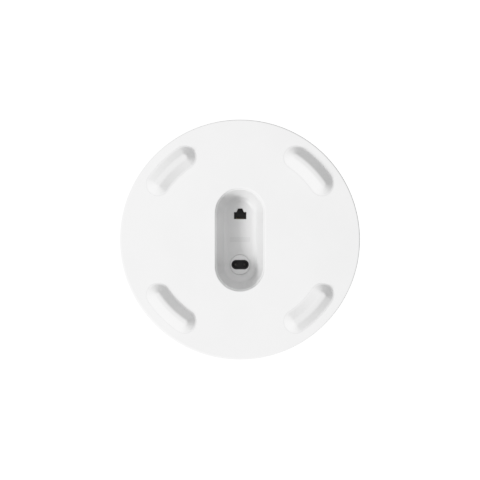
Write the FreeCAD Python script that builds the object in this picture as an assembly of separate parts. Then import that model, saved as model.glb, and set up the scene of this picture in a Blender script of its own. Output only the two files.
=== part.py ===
import FreeCAD, Part
import math
import os

# A round wireless access point that stands on four soft feet. Its cables come in from below,
# through a deep stadium-shaped port well that holds an ethernet socket and a two-pin power inlet.
# Millimetres. The origin is the centre of the footprint, on the plane that the feet rest on.
# +Z is up, +Y is the rear (ethernet socket, pairing button) and -Y is the front (status light).

V = FreeCAD.Vector
Z_AXIS = V(0, 0, 1)
Y_AXIS = V(0, 1, 0)
ORIGIN = V(0, 0, 0)

# Housing
BODY_R = 110.0
TOTAL_HEIGHT = 70.0
CROWN_R = 620.0
SHOULDER_R = 18.0
WALL = 2.2
BASE_Z = 7.0
BASE_T = 2.5
BASE_EDGE_R = 2.0
TRAY_TOP_Z = 13.0
COVER_BOTTOM_Z = 16.5
TRAY_FLOOR_Z = BASE_Z + BASE_T
INNER_R = BODY_R - WALL

# Ring of vent slots in the shadow gap between tray and cover
VENT_OUTER_R = 107.3
VENT_INNER_R = 105.0
VENT_TOP_Z = 19.0
VENT_SLOTS = 72
VENT_SLOT_W = 5.2
VENT_SLOT_Z0 = 13.5
VENT_SLOT_Z1 = 16.1

# Feet: soft arc-shaped ridges with round ends, pressed into pockets in the base
FOOT_CENTRE_R = 90.4
FOOT_HALF_ANGLE = 10.9
FOOT_CREST_HALF = 0.8
FOOT_FLANK = 10.3
FOOT_SLOPE = math.radians(43.0)
FOOT_HEEL_R = 3.0
FOOT_HALF = FOOT_CREST_HALF + FOOT_FLANK
FOOT_ROOT_T = 1.2
FOOT_FIT = 0.05
FOOT_SEAT_WALL = 1.8
FOOT_SEAT_TOP_Z = 11.0
FOOT_ROOT_Z = BASE_Z + FOOT_ROOT_T
FOOT_ANGLES = {"rear_right": 45, "rear_left": 135, "front_left": 225, "front_right": 315}

# Screws that go up from the foot pockets into the cover
SCREW_R = 1.5
SCREW_CLEAR_R = 1.7
SCREW_HEAD_R = 2.7
SCREW_HEAD_T = 2.0
SCREW_END_Z = 33.0
HEAD_POCKET_R = 2.9
HEAD_POCKET_Z = 10.4
FOOT_BOSS_R = 4.5
COVER_BOSS_R = 4.2
BOSS_SPLIT_Z = 20.0
BOSS_GAP = 0.2
DRIVE_SLOT_W = 0.7
DRIVE_SLOT_T = 0.9
THREAD_FIT = 0.02

# Port well
MOUTH_W = 46.0
MOUTH_L = 95.0
MOUTH_LIP_R = 0.9
WELL_DRAFT = math.radians(15.0)
WELL_RIM_Z = 13.0
WELL_STEP = 0.3
WELL_FLOOR_Z = 37.0
WELL_FLOOR_T = 2.0
WELL_WALL = 1.8
WELL_FLOOR_FILLET = 5.5
WELL_BACK_FILLET = 3.0
WELL_FLANGE_T = 2.0
WELL_FLANGE_W = 7.5
WELL_BACK_Z = WELL_FLOOR_Z + WELL_FLOOR_T
WELL_SCREW_X = 27.0
WELL_SCREW_Y = 22.0
WELL_SCREW_R = 1.2
WELL_SCREW_HEAD_R = 2.2
WELL_SCREW_HEAD_T = 1.6
WELL_SCREW_END_Z = 9.0
WELL_SCREW_CLEAR_R = 1.5
LABEL_X = 19.0
LABEL_Y = 4.6
LABEL_T = 0.15

# Ethernet socket
JACK_Y = 22.5
JACK_W = 11.6
JACK_H = 6.5
LATCH_BASE_W = 7.0
LATCH_TOP_W = 4.0
LATCH_H = 3.4
JACK_BODY_HALF = 7.6
JACK_BODY_Y0 = 17.4
JACK_BODY_Y1 = 30.8
JACK_DEPTH_Z = 51.5
JACK_BODY_Z1 = 53.6
SHIELD_T = 0.3
CONTACTS = 8
CONTACT_PITCH = 1.02
CONTACT_R = 0.2
CONTACT_LIFT = 1.7
CONTACT_START_Z = 40.5
CONTACT_CORNER_Z = 48.5
CONTACT_BEND_R = 2.0

# Power inlet
INLET_Y = -23.6
INLET_W = 16.3
INLET_H = 8.8
INLET_WALL = 0.75
INLET_FIT = 0.05
INLET_SUNK = 0.4
INLET_NOSE_R = 9.3
INLET_HOLE_R = 9.5
INLET_PROUD = 0.3
INLET_BODY_R = 10.2
INLET_CAVITY_Z = 47.5
INLET_TOP_Z = 50.0
INLET_EAR_X = 13.4
INLET_EAR_R = 3.0
INLET_EAR_Z0 = 43.0
INLET_EAR_Z1 = 45.2
INLET_BOSS_R = 2.5
INLET_BOSS_ROOM_R = 2.7
INLET_SCREW_R = 1.0
INLET_SCREW_CLEAR_R = 1.2
INLET_SCREW_HEAD_R = 1.9
INLET_SCREW_HEAD_T = 1.4
PIN_R = 1.2
PIN_SPACING = 8.6
PIN_TIP_Z = 38.4
TAB_TOP_Z = 53.0
TAB_W = 2.6
TAB_T = 0.8

# Boards
MAIN_BOARD_R = 82.0
MAIN_BOARD_Z = 54.0
BOARD_T = 1.6
MAIN_TOP_Z = MAIN_BOARD_Z + BOARD_T
MAIN_POSTS = [(30.0, 63.0), (-30.0, 63.0), (-30.0, -63.0), (30.0, -63.0)]
POST_R = 3.5
POWER_X0 = -92.0
POWER_X1 = -34.5
POWER_HALF_Y = 38.0
POWER_BOARD_Z = 16.0
POWER_TOP_Z = POWER_BOARD_Z + BOARD_T
POWER_POSTS = [(-88.0, 34.0), (-38.5, 34.0), (-38.5, -34.0), (-88.0, -34.0)]
BOARD_SCREW_R = 1.25
BOARD_SCREW_HEAD_R = 2.3
BOARD_SCREW_HEAD_T = 1.6
BOARD_SCREW_L = 8.0
BOARD_SCREW_REACH = 6.0
BOARD_HOLE_R = 1.4

# Inner frame
CHASSIS_R = 104.5
CHASSIS_T = 1.6
CHASSIS_WINDOW_R = 10.0
CHASSIS_WINDOW_AT = 78.0
CHASSIS_WINDOW_ANGLES = (-20, 0, 20)
CHASSIS_WELL_GAP = 1.0
CHASSIS_FOOT_ROOM_R = 31.0

# Side button and status light, one at the rear and one at the front
SIDE_Z = 27.0
BUTTON_R = 4.5
BUTTON_HOLE_R = 4.8
BUTTON_EDGE_R = 0.45
BUTTON_FLANGE_R = 6.0
BUTTON_FLANGE_Y0 = 106.1
BUTTON_FLANGE_Y1 = 107.2
BUTTON_STEM_R = 2.0
BUTTON_STEM_Y = 101.7
BUTTON_TRAVEL = 0.8
PLUNGER_R = 1.5
PLUNGER_FIT = 0.06
PLUNGER_Y0 = 98.9
PLUNGER_Y1 = 101.6
SWITCH_HALF = 3.0
SWITCH_Y0 = 96.6
SWITCH_Y1 = 100.2
SWITCH_BORE_Y = 97.9
SIDE_BOARD_T = 1.2
SIDE_BOARD_HALF_X = 9.0
SIDE_BOARD_Z0 = 19.5
SIDE_BOARD_Z1 = 35.0
CRADLE_ARM = 3.0
CRADLE_TOP_Z = 24.0
CRADLE_FIT = 0.1
LENS_W = 8.0
LENS_H = 2.4
LENS_FIT = 0.05
LENS_FLANGE = 1.2
LENS_FLANGE_Y0 = -107.2
LENS_FLANGE_Y1 = -106.0
LED_Y = -103.0
LED_W = 3.2
LED_H = 1.6
STATUS_BOARD_Y = -102.0

# Heat sink and antennas
SINK_R = 50.0
SINK_Z = 59.4
SINK_T = 1.6
FIN_PITCH = 8.0
FIN_W = 1.4
FIN_H = 3.0
FINS_EACH_SIDE = 5
FIN_MARGIN = 2.0
SINK_LEG_REACH = 31.0
SINK_LEG_R = 2.5
ANTENNA_R = 75.0
ANTENNA_L = 24.0
ANTENNA_H = 5.4
ANTENNA_T = 0.5
ANTENNA_GAP = 2.0
ANTENNA_LIP = 4.0
ANTENNA_FEED = 6.0
ANTENNA_LEG_W = 1.6
ANTENNA_LEG_H = 3.0

# Insulated leads
MAINS_LEAD_R = 0.9
LEAD_ON_TAB = 0.6
MAINS_DROP_X = -24.0
MAINS_DROP_Z = 38.0
LIVE_END_Y = -18.5
NEUTRAL_STEP = 5.5
NEUTRAL_END_Y = -23.5
DC_LEAD_R = 1.4
DC_BEND_LOW_Z = 34.0
DC_BEND_HIGH_Z = 42.0
SIGNAL_RUN_BELOW = 3.0
SIGNAL_RUN_BACK = 8.0
SIGNAL_LEAD_R = 0.8
LEAD_BEND_R = 4.0


# ---------------------------------------------------------------- helpers


def block(x0, x1, y0, y1, z0, z1):
    """A box between two corners."""
    return Part.makeBox(x1 - x0, y1 - y0, z1 - z0, V(x0, y0, z0))


def pad_block(x, y, size_x, size_y, z0, height):
    """A box centred on x, y that stands on z0."""
    half_x, half_y = size_x / 2, size_y / 2
    return block(x - half_x, x + half_x, y - half_y, y + half_y, z0, z0 + height)


def rod(radius, z0, z1, x=0.0, y=0.0):
    """An upright cylinder."""
    return Part.makeCylinder(radius, z1 - z0, V(x, y, z0))


def side_rod(radius, y0, y1, z, x=0.0):
    """A cylinder along Y."""
    return Part.makeCylinder(radius, y1 - y0, V(x, y0, z), Y_AXIS)


def fuse(shapes):
    """One solid from several that touch or overlap."""
    return shapes[0].multiFuse(shapes[1:]).removeSplitter()


def turned(shape, degrees):
    """A copy turned about the body's own axis."""
    copy = shape.copy()
    copy.rotate(ORIGIN, Z_AXIS, degrees)
    return copy


def closed_face(edges):
    """The face inside a closed run of edges."""
    return Part.Face(Part.Wire(edges))


def polygon(points):
    """The face inside straight edges through the points."""
    return Part.Face(Part.makePolygon(points + [points[0]]))


def arc(centre, radius, start, end, place):
    """An arc from start to end (radians); place turns its two coordinates into a point."""
    angles = (start, (start + end) / 2, end)
    points = [place(centre[0] + radius * math.cos(a), centre[1] + radius * math.sin(a)) for a in angles]
    return Part.Arc(*points).toShape()


def line(a, b):
    return Part.LineSegment(a, b).toShape()


def drafted_slot(half_width, half_straight, z0, z1, draft):
    """A stadium along Y that narrows upwards: two cones with a prism between them."""
    top = half_width - (z1 - z0) * math.tan(draft)
    ends = [Part.makeCone(half_width, top, z1 - z0, V(0, y, z0)) for y in (-half_straight, half_straight)]
    corners = [(-half_width, z0), (half_width, z0), (top, z1), (-top, z1)]
    section = polygon([V(x, -half_straight, z) for x, z in corners])
    return fuse(ends + [section.extrude(V(0, 2 * half_straight, 0))])


def flat_slot(half_width, half_straight, z0, z1):
    """A straight-sided stadium along Y."""
    ends = [rod(half_width, z0, z1, 0, y) for y in (-half_straight, half_straight)]
    return fuse(ends + [block(-half_width, half_width, -half_straight, half_straight, z0, z1)])


def pill(width, height, y0, y1, z0, z1):
    """A stadium prism with its long axis along X: upright when y0 is None, else along Y at height z0."""
    half, radius = (width - height) / 2, height / 2
    if y0 is None:
        ends = [rod(radius, z0, z1, x, y1) for x in (-half, half)]
        middle = block(-half, half, y1 - radius, y1 + radius, z0, z1)
    else:
        ends = [side_rod(radius, y0, y1, z0, x) for x in (-half, half)]
        middle = block(-half, half, y0, y1, z0 - radius, z0 + radius)
    return fuse(ends + [middle])


def edges_at(shape, z, reach_x, reach_y):
    """The edges that lie at one height within a reach of the axis."""
    found = []
    for edge in shape.Edges:
        box = edge.BoundBox
        level = abs(box.ZMin - z) < 1e-4 and abs(box.ZMax - z) < 1e-4
        near = max(abs(box.XMin), abs(box.XMax)) < reach_x and max(abs(box.YMin), abs(box.YMax)) < reach_y
        if level and near:
            found.append(edge)
    return found


def ridge(half_section):
    """An arc-shaped ridge at angle 0 with round ends, from half of its cross-section.
    The half section lies in the XZ plane, outwards from the ridge's centreline."""
    centre = V(FOOT_CENTRE_R, 0, 0)
    other_half = half_section.mirror(centre, V(1, 0, 0))
    pieces = []
    for face in (half_section, other_half):
        swept = face.revolve(ORIGIN, Z_AXIS, 2 * FOOT_HALF_ANGLE)
        pieces.append(turned(swept, -FOOT_HALF_ANGLE))
    for side in (-1, 1):
        end = half_section.revolve(centre, Z_AXIS, 360)
        pieces.append(turned(end, side * FOOT_HALF_ANGLE))
    return fuse(pieces)


def section_point(d, z):
    """A point of the foot's cross-section, d outwards from its centreline."""
    return V(FOOT_CENTRE_R + d, 0, z)


def lead(points, radius, bend):
    """A round insulated lead: straight runs joined by tangent arcs."""
    edges = []
    start = points[0]
    for before, corner, after in zip(points, points[1:], points[2:]):
        incoming = (corner - before).normalize()
        outgoing = (after - corner).normalize()
        half_turn = incoming.getAngle(outgoing) / 2
        back = bend * math.tan(half_turn)
        arc_start = corner - incoming * back
        arc_end = corner + outgoing * back
        towards = (outgoing - incoming).normalize()
        arc_middle = corner + towards * (bend / math.cos(half_turn) - bend)
        edges.append(line(start, arc_start))
        edges.append(Part.Arc(arc_start, arc_middle, arc_end).toShape())
        start = arc_end
    edges.append(line(start, points[-1]))
    path = Part.Wire(edges)
    circle = Part.Circle(points[0], points[1] - points[0], radius).toShape()
    return path.makePipeShell([Part.Wire([circle])], True, False)


def screw(radius, head_r, head_t, head_z, end_z, x, y):
    """A pan-head screw with a cross drive. The head is at head_z and the shank ends at end_z."""
    way = 1 if end_z > head_z else -1
    axis = V(0, 0, way)
    head = Part.makeCylinder(head_r, head_t, V(x, y, head_z), axis)
    shank_l = abs(end_z - head_z) - head_t
    shank = Part.makeCylinder(radius, shank_l, V(x, y, head_z + way * head_t), axis)
    z0 = min(head_z, head_z + way * DRIVE_SLOT_T)
    long_side = head_r * 1.2
    cross = [
        pad_block(x, y, long_side, DRIVE_SLOT_W, z0, DRIVE_SLOT_T),
        pad_block(x, y, DRIVE_SLOT_W, long_side, z0, DRIVE_SLOT_T),
    ]
    return fuse([head, shank]).cut(cross)


def export(name, *solids):
    """Writes one node. Several solids go out as a group of separate pieces."""
    shape = solids[0] if len(solids) == 1 else Part.makeCompound(list(solids))
    if not shape.isValid() or any(not s.isClosed() for s in shape.Solids):
        raise ValueError(name + " is not a closed, valid shape")
    shape.exportStep("parts/" + name + ".step")
    print(name, len(shape.Solids), "solids", round(shape.Volume / 1000, 2), "cm3")


# ---------------------------------------------------------------- housing


def foot_place(angle):
    """Where a foot's screw stands."""
    a = math.radians(angle)
    return FOOT_CENTRE_R * math.cos(a), FOOT_CENTRE_R * math.sin(a)


def foot():
    """A soft foot: a rounded crest to stand on, sloping flanks, and a root that fills its pocket."""
    crest_r = (FOOT_FLANK - BASE_Z / math.tan(FOOT_SLOPE)) / math.tan(FOOT_SLOPE / 2) - FOOT_HEEL_R
    down = -math.pi / 2
    crest = arc((FOOT_CREST_HALF, crest_r), crest_r, down, down + FOOT_SLOPE, section_point)
    heel_centre = (FOOT_HALF, BASE_Z - FOOT_HEEL_R)
    heel = arc(heel_centre, FOOT_HEEL_R, FOOT_SLOPE - down, -down, section_point)
    section = closed_face([
        line(section_point(0, 0), section_point(FOOT_CREST_HALF, 0)),
        crest,
        line(crest.Vertexes[-1].Point, heel.Vertexes[0].Point),
        heel,
        line(section_point(FOOT_HALF, BASE_Z), section_point(FOOT_HALF, FOOT_ROOT_Z)),
        line(section_point(FOOT_HALF, FOOT_ROOT_Z), section_point(0, FOOT_ROOT_Z)),
        line(section_point(0, FOOT_ROOT_Z), section_point(0, 0)),
    ])
    return ridge(section)


def flat_ridge(half, z0, z1):
    """An arc-shaped block with round ends and upright sides."""
    corners = [(0, z0), (half, z0), (half, z1), (0, z1)]
    return ridge(polygon([section_point(d, z) for d, z in corners]))


def tray():
    """The base plate with its rounded edge and low wall, as one turned section."""
    def at(r, z):
        return V(r, 0, z)

    corner = arc((BODY_R - BASE_EDGE_R, BASE_Z + BASE_EDGE_R), BASE_EDGE_R, -math.pi / 2, 0, at)
    section = closed_face([
        line(at(0, BASE_Z), at(BODY_R - BASE_EDGE_R, BASE_Z)),
        corner,
        line(at(BODY_R, BASE_Z + BASE_EDGE_R), at(BODY_R, TRAY_TOP_Z)),
        line(at(BODY_R, TRAY_TOP_Z), at(INNER_R, TRAY_TOP_Z)),
        line(at(INNER_R, TRAY_TOP_Z), at(INNER_R, TRAY_FLOOR_Z)),
        line(at(INNER_R, TRAY_FLOOR_Z), at(0, TRAY_FLOOR_Z)),
        line(at(0, TRAY_FLOOR_Z), at(0, BASE_Z)),
    ])
    return section.revolve(ORIGIN, Z_AXIS, 360)


def mouth_half_straight():
    return (MOUTH_L - MOUTH_W) / 2


def mouth_with_rim():
    """The raised rim that the well is screwed to, and the drafted mouth that goes through it."""
    straight = mouth_half_straight()
    rim = flat_slot(MOUTH_W / 2 + WELL_FLANGE_W, straight, BASE_Z + BASE_T / 2, WELL_RIM_Z)
    mouth = drafted_slot(MOUTH_W / 2, straight, BASE_Z, WELL_RIM_Z, WELL_DRAFT)
    return rim, mouth


def cradle(board_y0, board_y1):
    """Two slotted uprights that hold a small board on edge."""
    arms = []
    for side in (-1, 1):
        x = side * SIDE_BOARD_HALF_X
        arms.append(block(x - CRADLE_ARM / 2, x + CRADLE_ARM / 2, board_y0 - CRADLE_ARM / 2,
                          board_y1 + CRADLE_ARM / 2, TRAY_FLOOR_Z, CRADLE_TOP_Z))
    half = SIDE_BOARD_HALF_X + CRADLE_FIT
    slot = block(-half, half, board_y0 - CRADLE_FIT, board_y1 + CRADLE_FIT, SIDE_BOARD_Z0, CRADLE_TOP_Z)
    return [arm.cut(slot) for arm in arms]


def side_board_span(front):
    """The Y span of the small board behind the status light or the button."""
    if front:
        return STATUS_BOARD_Y, STATUS_BOARD_Y + SIDE_BOARD_T
    return SWITCH_Y0 - SIDE_BOARD_T, SWITCH_Y0


def well_screw_places():
    return [(x, y) for x in (-WELL_SCREW_X, WELL_SCREW_X) for y in (-WELL_SCREW_Y, WELL_SCREW_Y)]


def bottom_housing():
    """Tray, rim, foot pockets and screw bosses, moulded in one piece."""
    rim, mouth = mouth_with_rim()
    shell = fuse([tray(), rim]).cut([mouth])
    lip = edges_at(shell, BASE_Z, MOUTH_W, MOUTH_L)
    shell = shell.makeFillet(MOUTH_LIP_R, lip)
    angles = list(FOOT_ANGLES.values())
    seat = flat_ridge(FOOT_HALF + FOOT_SEAT_WALL, BASE_Z + BASE_T / 2, FOOT_SEAT_TOP_Z)
    pocket = flat_ridge(FOOT_HALF + FOOT_FIT, BASE_Z, FOOT_ROOT_Z)
    bosses = [rod(FOOT_BOSS_R, FOOT_ROOT_Z, BOSS_SPLIT_Z, *foot_place(a)) for a in angles]
    shell = fuse([shell] + [turned(seat, a) for a in angles] + bosses)
    holes = [turned(pocket, a) for a in angles]
    for a in angles:
        holes.append(rod(HEAD_POCKET_R, BASE_Z, HEAD_POCKET_Z, *foot_place(a)))
        holes.append(rod(SCREW_CLEAR_R, BASE_Z, BOSS_SPLIT_Z, *foot_place(a)))
    for x, y in well_screw_places():
        holes.append(rod(WELL_SCREW_R + THREAD_FIT, WELL_SCREW_END_Z, WELL_RIM_Z, x, y))
    return shell.cut(holes)


def chassis():
    """The inner frame that lies on the tray: a thin web with the board posts and the two cradles."""
    outline = rod(CHASSIS_R, TRAY_FLOOR_Z, TRAY_FLOOR_Z + CHASSIS_T)
    well_half = MOUTH_W / 2 + WELL_FLANGE_W + CHASSIS_WELL_GAP
    windows = [flat_slot(well_half, mouth_half_straight(), TRAY_FLOOR_Z, MAIN_BOARD_Z)]
    vent = rod(CHASSIS_WINDOW_R, TRAY_FLOOR_Z, BOSS_SPLIT_Z, CHASSIS_WINDOW_AT, 0)
    windows += [turned(vent, angle) for angle in CHASSIS_WINDOW_ANGLES]
    for angle in FOOT_ANGLES.values():
        windows.append(rod(CHASSIS_FOOT_ROOM_R, TRAY_FLOOR_Z, BOSS_SPLIT_Z, *foot_place(angle)))
    posts = [rod(POST_R, TRAY_FLOOR_Z, MAIN_BOARD_Z, x, y) for x, y in MAIN_POSTS]
    posts += [rod(POST_R, TRAY_FLOOR_Z, POWER_BOARD_Z, x, y) for x, y in POWER_POSTS]
    arms = cradle(*side_board_span(front=True)) + cradle(*side_board_span(front=False))
    frame = fuse([outline.cut(windows)] + posts + arms)
    pilot = BOARD_SCREW_R + THREAD_FIT
    holes = []
    for places, top in ((MAIN_POSTS, MAIN_BOARD_Z), (POWER_POSTS, POWER_BOARD_Z)):
        depth = min(BOARD_SCREW_L, top - TRAY_FLOOR_Z)
        holes += [rod(pilot, top - depth, top, x, y) for x, y in places]
    return frame.cut(holes)


def cover_solid(offset):
    """The space under the cover's surface, moved inwards by offset: side wall, shoulder and crown."""
    def at(r, z):
        return V(r, 0, z)

    crown_z = TOTAL_HEIGHT - CROWN_R
    shoulder_x = BODY_R - SHOULDER_R
    shoulder_z = crown_z + math.sqrt((CROWN_R - SHOULDER_R) ** 2 - shoulder_x ** 2)
    meet = math.atan2(shoulder_z - crown_z, shoulder_x)
    side, top = BODY_R - offset, TOTAL_HEIGHT - offset
    section = closed_face([
        line(at(0, COVER_BOTTOM_Z), at(side, COVER_BOTTOM_Z)),
        line(at(side, COVER_BOTTOM_Z), at(side, shoulder_z)),
        arc((shoulder_x, shoulder_z), SHOULDER_R - offset, 0, meet, at),
        arc((0, crown_z), CROWN_R - offset, meet, math.pi / 2, at),
        line(at(0, top), at(0, COVER_BOTTOM_Z)),
    ])
    return section.revolve(ORIGIN, Z_AXIS, 360)


def top_cover():
    """The domed cover with its screw bosses, and holes for the button and the status light."""
    outside = cover_solid(0)
    shell = outside.cut(cover_solid(WALL))
    bosses = []
    pilots = []
    for angle in FOOT_ANGLES.values():
        x, y = foot_place(angle)
        bosses.append(rod(COVER_BOSS_R, BOSS_SPLIT_Z + BOSS_GAP, TOTAL_HEIGHT, x, y).common(outside))
        pilots.append(rod(SCREW_R + THREAD_FIT, BOSS_SPLIT_Z, SCREW_END_Z + 1, x, y))
    shell = fuse([shell] + bosses)
    button_hole = side_rod(BUTTON_HOLE_R, INNER_R - WALL, BODY_R + WALL, SIDE_Z)
    lens_hole = pill(LENS_W, LENS_H, -BODY_R - WALL, -INNER_R + WALL, SIDE_Z, SIDE_Z)
    return shell.cut(pilots + [button_hole, lens_hole])


def vent_ring():
    """A ring that stands behind the shadow gap, with one slot in each vent pitch."""
    ring = rod(VENT_OUTER_R, TRAY_FLOOR_Z, VENT_TOP_Z).cut(rod(VENT_INNER_R, TRAY_FLOOR_Z, VENT_TOP_Z))
    slot = block(VENT_INNER_R - WALL, VENT_OUTER_R + WALL, -VENT_SLOT_W / 2, VENT_SLOT_W / 2,
                 VENT_SLOT_Z0, VENT_SLOT_Z1)
    pitch = 360 / VENT_SLOTS
    return ring.cut([turned(slot, (i + 0.5) * pitch) for i in range(VENT_SLOTS)])


def housing_screws():
    head_z = HEAD_POCKET_Z - SCREW_HEAD_T
    assert head_z > FOOT_ROOT_Z
    return [
        screw(SCREW_R, SCREW_HEAD_R, SCREW_HEAD_T, head_z, SCREW_END_Z, *foot_place(a))
        for a in FOOT_ANGLES.values()
    ]


# ---------------------------------------------------------------- port well


def jack_opening(z0, z1):
    """The ethernet opening: a rectangle for the plug and a notch for its latch, towards the rear."""
    low, high = JACK_Y - JACK_H / 2, JACK_Y + JACK_H / 2
    half, base, top = JACK_W / 2, LATCH_BASE_W / 2, LATCH_TOP_W / 2
    corners = [(-half, low), (half, low), (half, high), (base, high), (top, high + LATCH_H),
               (-top, high + LATCH_H), (-base, high), (-half, high)]
    return polygon([V(x, y, z0) for x, y in corners]).extrude(V(0, 0, z1 - z0))


def inlet_ear_places():
    return [(-INLET_EAR_X, INLET_Y), (INLET_EAR_X, INLET_Y)]


def port_well():
    """The cup that the cables come into, with its flange and the two socket openings in its floor."""
    straight = mouth_half_straight()
    taper = (WELL_RIM_Z - BASE_Z) * math.tan(WELL_DRAFT)
    inner_half = MOUTH_W / 2 - taper - WELL_STEP
    outer_half = inner_half + WELL_WALL
    inner = drafted_slot(inner_half, straight, WELL_RIM_Z, WELL_FLOOR_Z, WELL_DRAFT)
    inner = inner.makeFillet(WELL_FLOOR_FILLET, edges_at(inner, WELL_FLOOR_Z, MOUTH_W, MOUTH_L))
    outer = drafted_slot(outer_half, straight, WELL_RIM_Z, WELL_BACK_Z, WELL_DRAFT)
    outer = outer.makeFillet(WELL_BACK_FILLET, edges_at(outer, WELL_BACK_Z, MOUTH_W, MOUTH_L))
    flange = flat_slot(MOUTH_W / 2 + WELL_FLANGE_W, straight, WELL_RIM_Z, WELL_RIM_Z + WELL_FLANGE_T)
    bosses = [rod(INLET_BOSS_R, WELL_BACK_Z - 1, INLET_EAR_Z0, x, y) for x, y in inlet_ear_places()]
    holes = [
        jack_opening(WELL_FLOOR_Z - 1, WELL_BACK_Z + 1),
        rod(INLET_HOLE_R, WELL_FLOOR_Z - 1, WELL_BACK_Z + 1, 0, INLET_Y),
    ]
    holes += [rod(WELL_SCREW_CLEAR_R, WELL_RIM_Z, WELL_RIM_Z + WELL_FLANGE_T, x, y)
              for x, y in well_screw_places()]
    for x, y in inlet_ear_places():
        holes.append(rod(INLET_SCREW_R + THREAD_FIT, WELL_BACK_Z, INLET_EAR_Z0, x, y))
    return fuse([outer, flange] + bosses).cut([inner] + holes)


def well_screws():
    head_z = WELL_RIM_Z + WELL_FLANGE_T + WELL_SCREW_HEAD_T
    return [
        screw(WELL_SCREW_R, WELL_SCREW_HEAD_R, WELL_SCREW_HEAD_T, head_z, WELL_SCREW_END_Z, x, y)
        for x, y in well_screw_places()
    ]


def rating_label():
    """A blank label on the visible side of the well's floor, between the two sockets."""
    return pad_block(0, 0, LABEL_X, LABEL_Y, WELL_FLOOR_Z - LABEL_T, LABEL_T)


# ---------------------------------------------------------------- sockets


def jack_contacts():
    """Eight sprung wires that rise from the plug side of the cavity and end in the main board."""
    wall_y = JACK_Y - JACK_H / 2
    wires = []
    for i in range(CONTACTS):
        x = (i - (CONTACTS - 1) / 2) * CONTACT_PITCH
        points = [
            V(x, wall_y + 2 * CONTACT_R, CONTACT_START_Z),
            V(x, wall_y + CONTACT_LIFT, CONTACT_CORNER_Z),
            V(x, wall_y + CONTACT_LIFT, MAIN_BOARD_Z),
        ]
        wires.append(lead(points, CONTACT_R, CONTACT_BEND_R))
    return wires


def jack_body():
    """The black insert of the ethernet socket, open downwards."""
    start = WELL_BACK_Z + BOSS_GAP
    body = block(-JACK_BODY_HALF, JACK_BODY_HALF, JACK_BODY_Y0, JACK_BODY_Y1, start, JACK_BODY_Z1)
    return body.cut([jack_opening(start, JACK_DEPTH_Z)] + jack_contacts())


def jack_shield():
    """The folded metal can around the insert."""
    start = WELL_BACK_Z + BOSS_GAP
    half = JACK_BODY_HALF + SHIELD_T
    y0, y1 = JACK_BODY_Y0 - SHIELD_T, JACK_BODY_Y1 + SHIELD_T
    can = block(-half, half, y0, y1, start, MAIN_BOARD_Z)
    return can.cut(block(-JACK_BODY_HALF, JACK_BODY_HALF, JACK_BODY_Y0, JACK_BODY_Y1, start, MAIN_BOARD_Z))


def inlet_pins():
    """Two round pins with domed tips. Each ends in a flat solder tab above the inlet."""
    pins = []
    for side in (-1, 1):
        x = side * PIN_SPACING / 2
        shaft = rod(PIN_R, PIN_TIP_Z + PIN_R, INLET_TOP_Z, x, INLET_Y)
        tip = Part.makeSphere(PIN_R, V(x, INLET_Y, PIN_TIP_Z + PIN_R))
        tab = pad_block(x, INLET_Y, TAB_W, TAB_T, INLET_TOP_Z - 1, TAB_TOP_Z - INLET_TOP_Z + 1)
        pins.append(fuse([shaft, tip, tab]))
    return pins


def inlet_body():
    """The black inlet: a pill-shaped cup, open downwards, with the two pins through its end."""
    open_z = WELL_FLOOR_Z - INLET_PROUD + INLET_SUNK
    outside = pill(INLET_W, INLET_H, None, INLET_Y, open_z, INLET_TOP_Z)
    width, height = INLET_W - 2 * INLET_WALL, INLET_H - 2 * INLET_WALL
    cavity = pill(width, height, None, INLET_Y, open_z, INLET_CAVITY_Z)
    return outside.cut([cavity] + inlet_pins())


def inlet_bezel():
    """The round white insert around the inlet, with ears that are screwed to the well."""
    nose_z = WELL_FLOOR_Z - INLET_PROUD
    parts = [
        rod(INLET_NOSE_R, nose_z, WELL_BACK_Z + 1, 0, INLET_Y),
        rod(INLET_BODY_R, WELL_BACK_Z + BOSS_GAP, INLET_EAR_Z1, 0, INLET_Y),
    ]
    ears = pill(2 * (INLET_EAR_X + INLET_EAR_R), 2 * INLET_EAR_R, None, INLET_Y, INLET_EAR_Z0, INLET_EAR_Z1)
    width, height = INLET_W + 2 * INLET_FIT, INLET_H + 2 * INLET_FIT
    hole = pill(width, height, None, INLET_Y, nose_z, INLET_TOP_Z)
    ear_holes = [rod(INLET_SCREW_CLEAR_R, INLET_EAR_Z0, INLET_EAR_Z1, x, y) for x, y in inlet_ear_places()]
    boss_room = [rod(INLET_BOSS_ROOM_R, WELL_BACK_Z, INLET_EAR_Z0, x, y) for x, y in inlet_ear_places()]
    return fuse(parts + [ears]).cut([hole] + ear_holes + boss_room)


def inlet_screws():
    head_z = INLET_EAR_Z1 + INLET_SCREW_HEAD_T
    return [
        screw(INLET_SCREW_R, INLET_SCREW_HEAD_R, INLET_SCREW_HEAD_T, head_z, WELL_BACK_Z, x, y)
        for x, y in inlet_ear_places()
    ]


# ---------------------------------------------------------------- power supply

TERMINAL = {"x": -38.5, "y": -21.0, "size_x": 7.0, "size_y": 12.0, "height": 9.0}
DC_HEADER = {"x": -40.0, "y": 20.0, "size_x": 6.0, "size_y": 8.0, "height": 6.0}
TRANSFORMER = {"x": -60.0, "y": 4.0, "core_x": 24.0, "core_y": 22.0, "height": 20.0}
CORE_LEG = 4.0
CORE_DEPTH = 13.2
BOBBIN_FOOT_T = 2.0
BOBBIN_FLANGE_T = 1.0
BOBBIN_PLAY = 0.4
WINDING_INSET = 0.8
BOBBIN_SIDE_T = 2.0
BOBBIN_WEB = 4.8
BULK_CAP = {"r": 6.3, "height": 25.0, "places": [(-80.0, 12.0), (-80.0, -4.0)]}
GROOVE_OUT = 0.3
GROOVE_R = 0.8
GROOVE_Z = 2.5
OUTPUT_CAP = {"r": 4.0, "height": 14.0, "places": [(-62.0, 26.0), (-51.0, 26.0)]}
CHOKE = {"x": -62.0, "y": -22.0, "ring_r": 7.0, "wire_r": 3.2}
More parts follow.
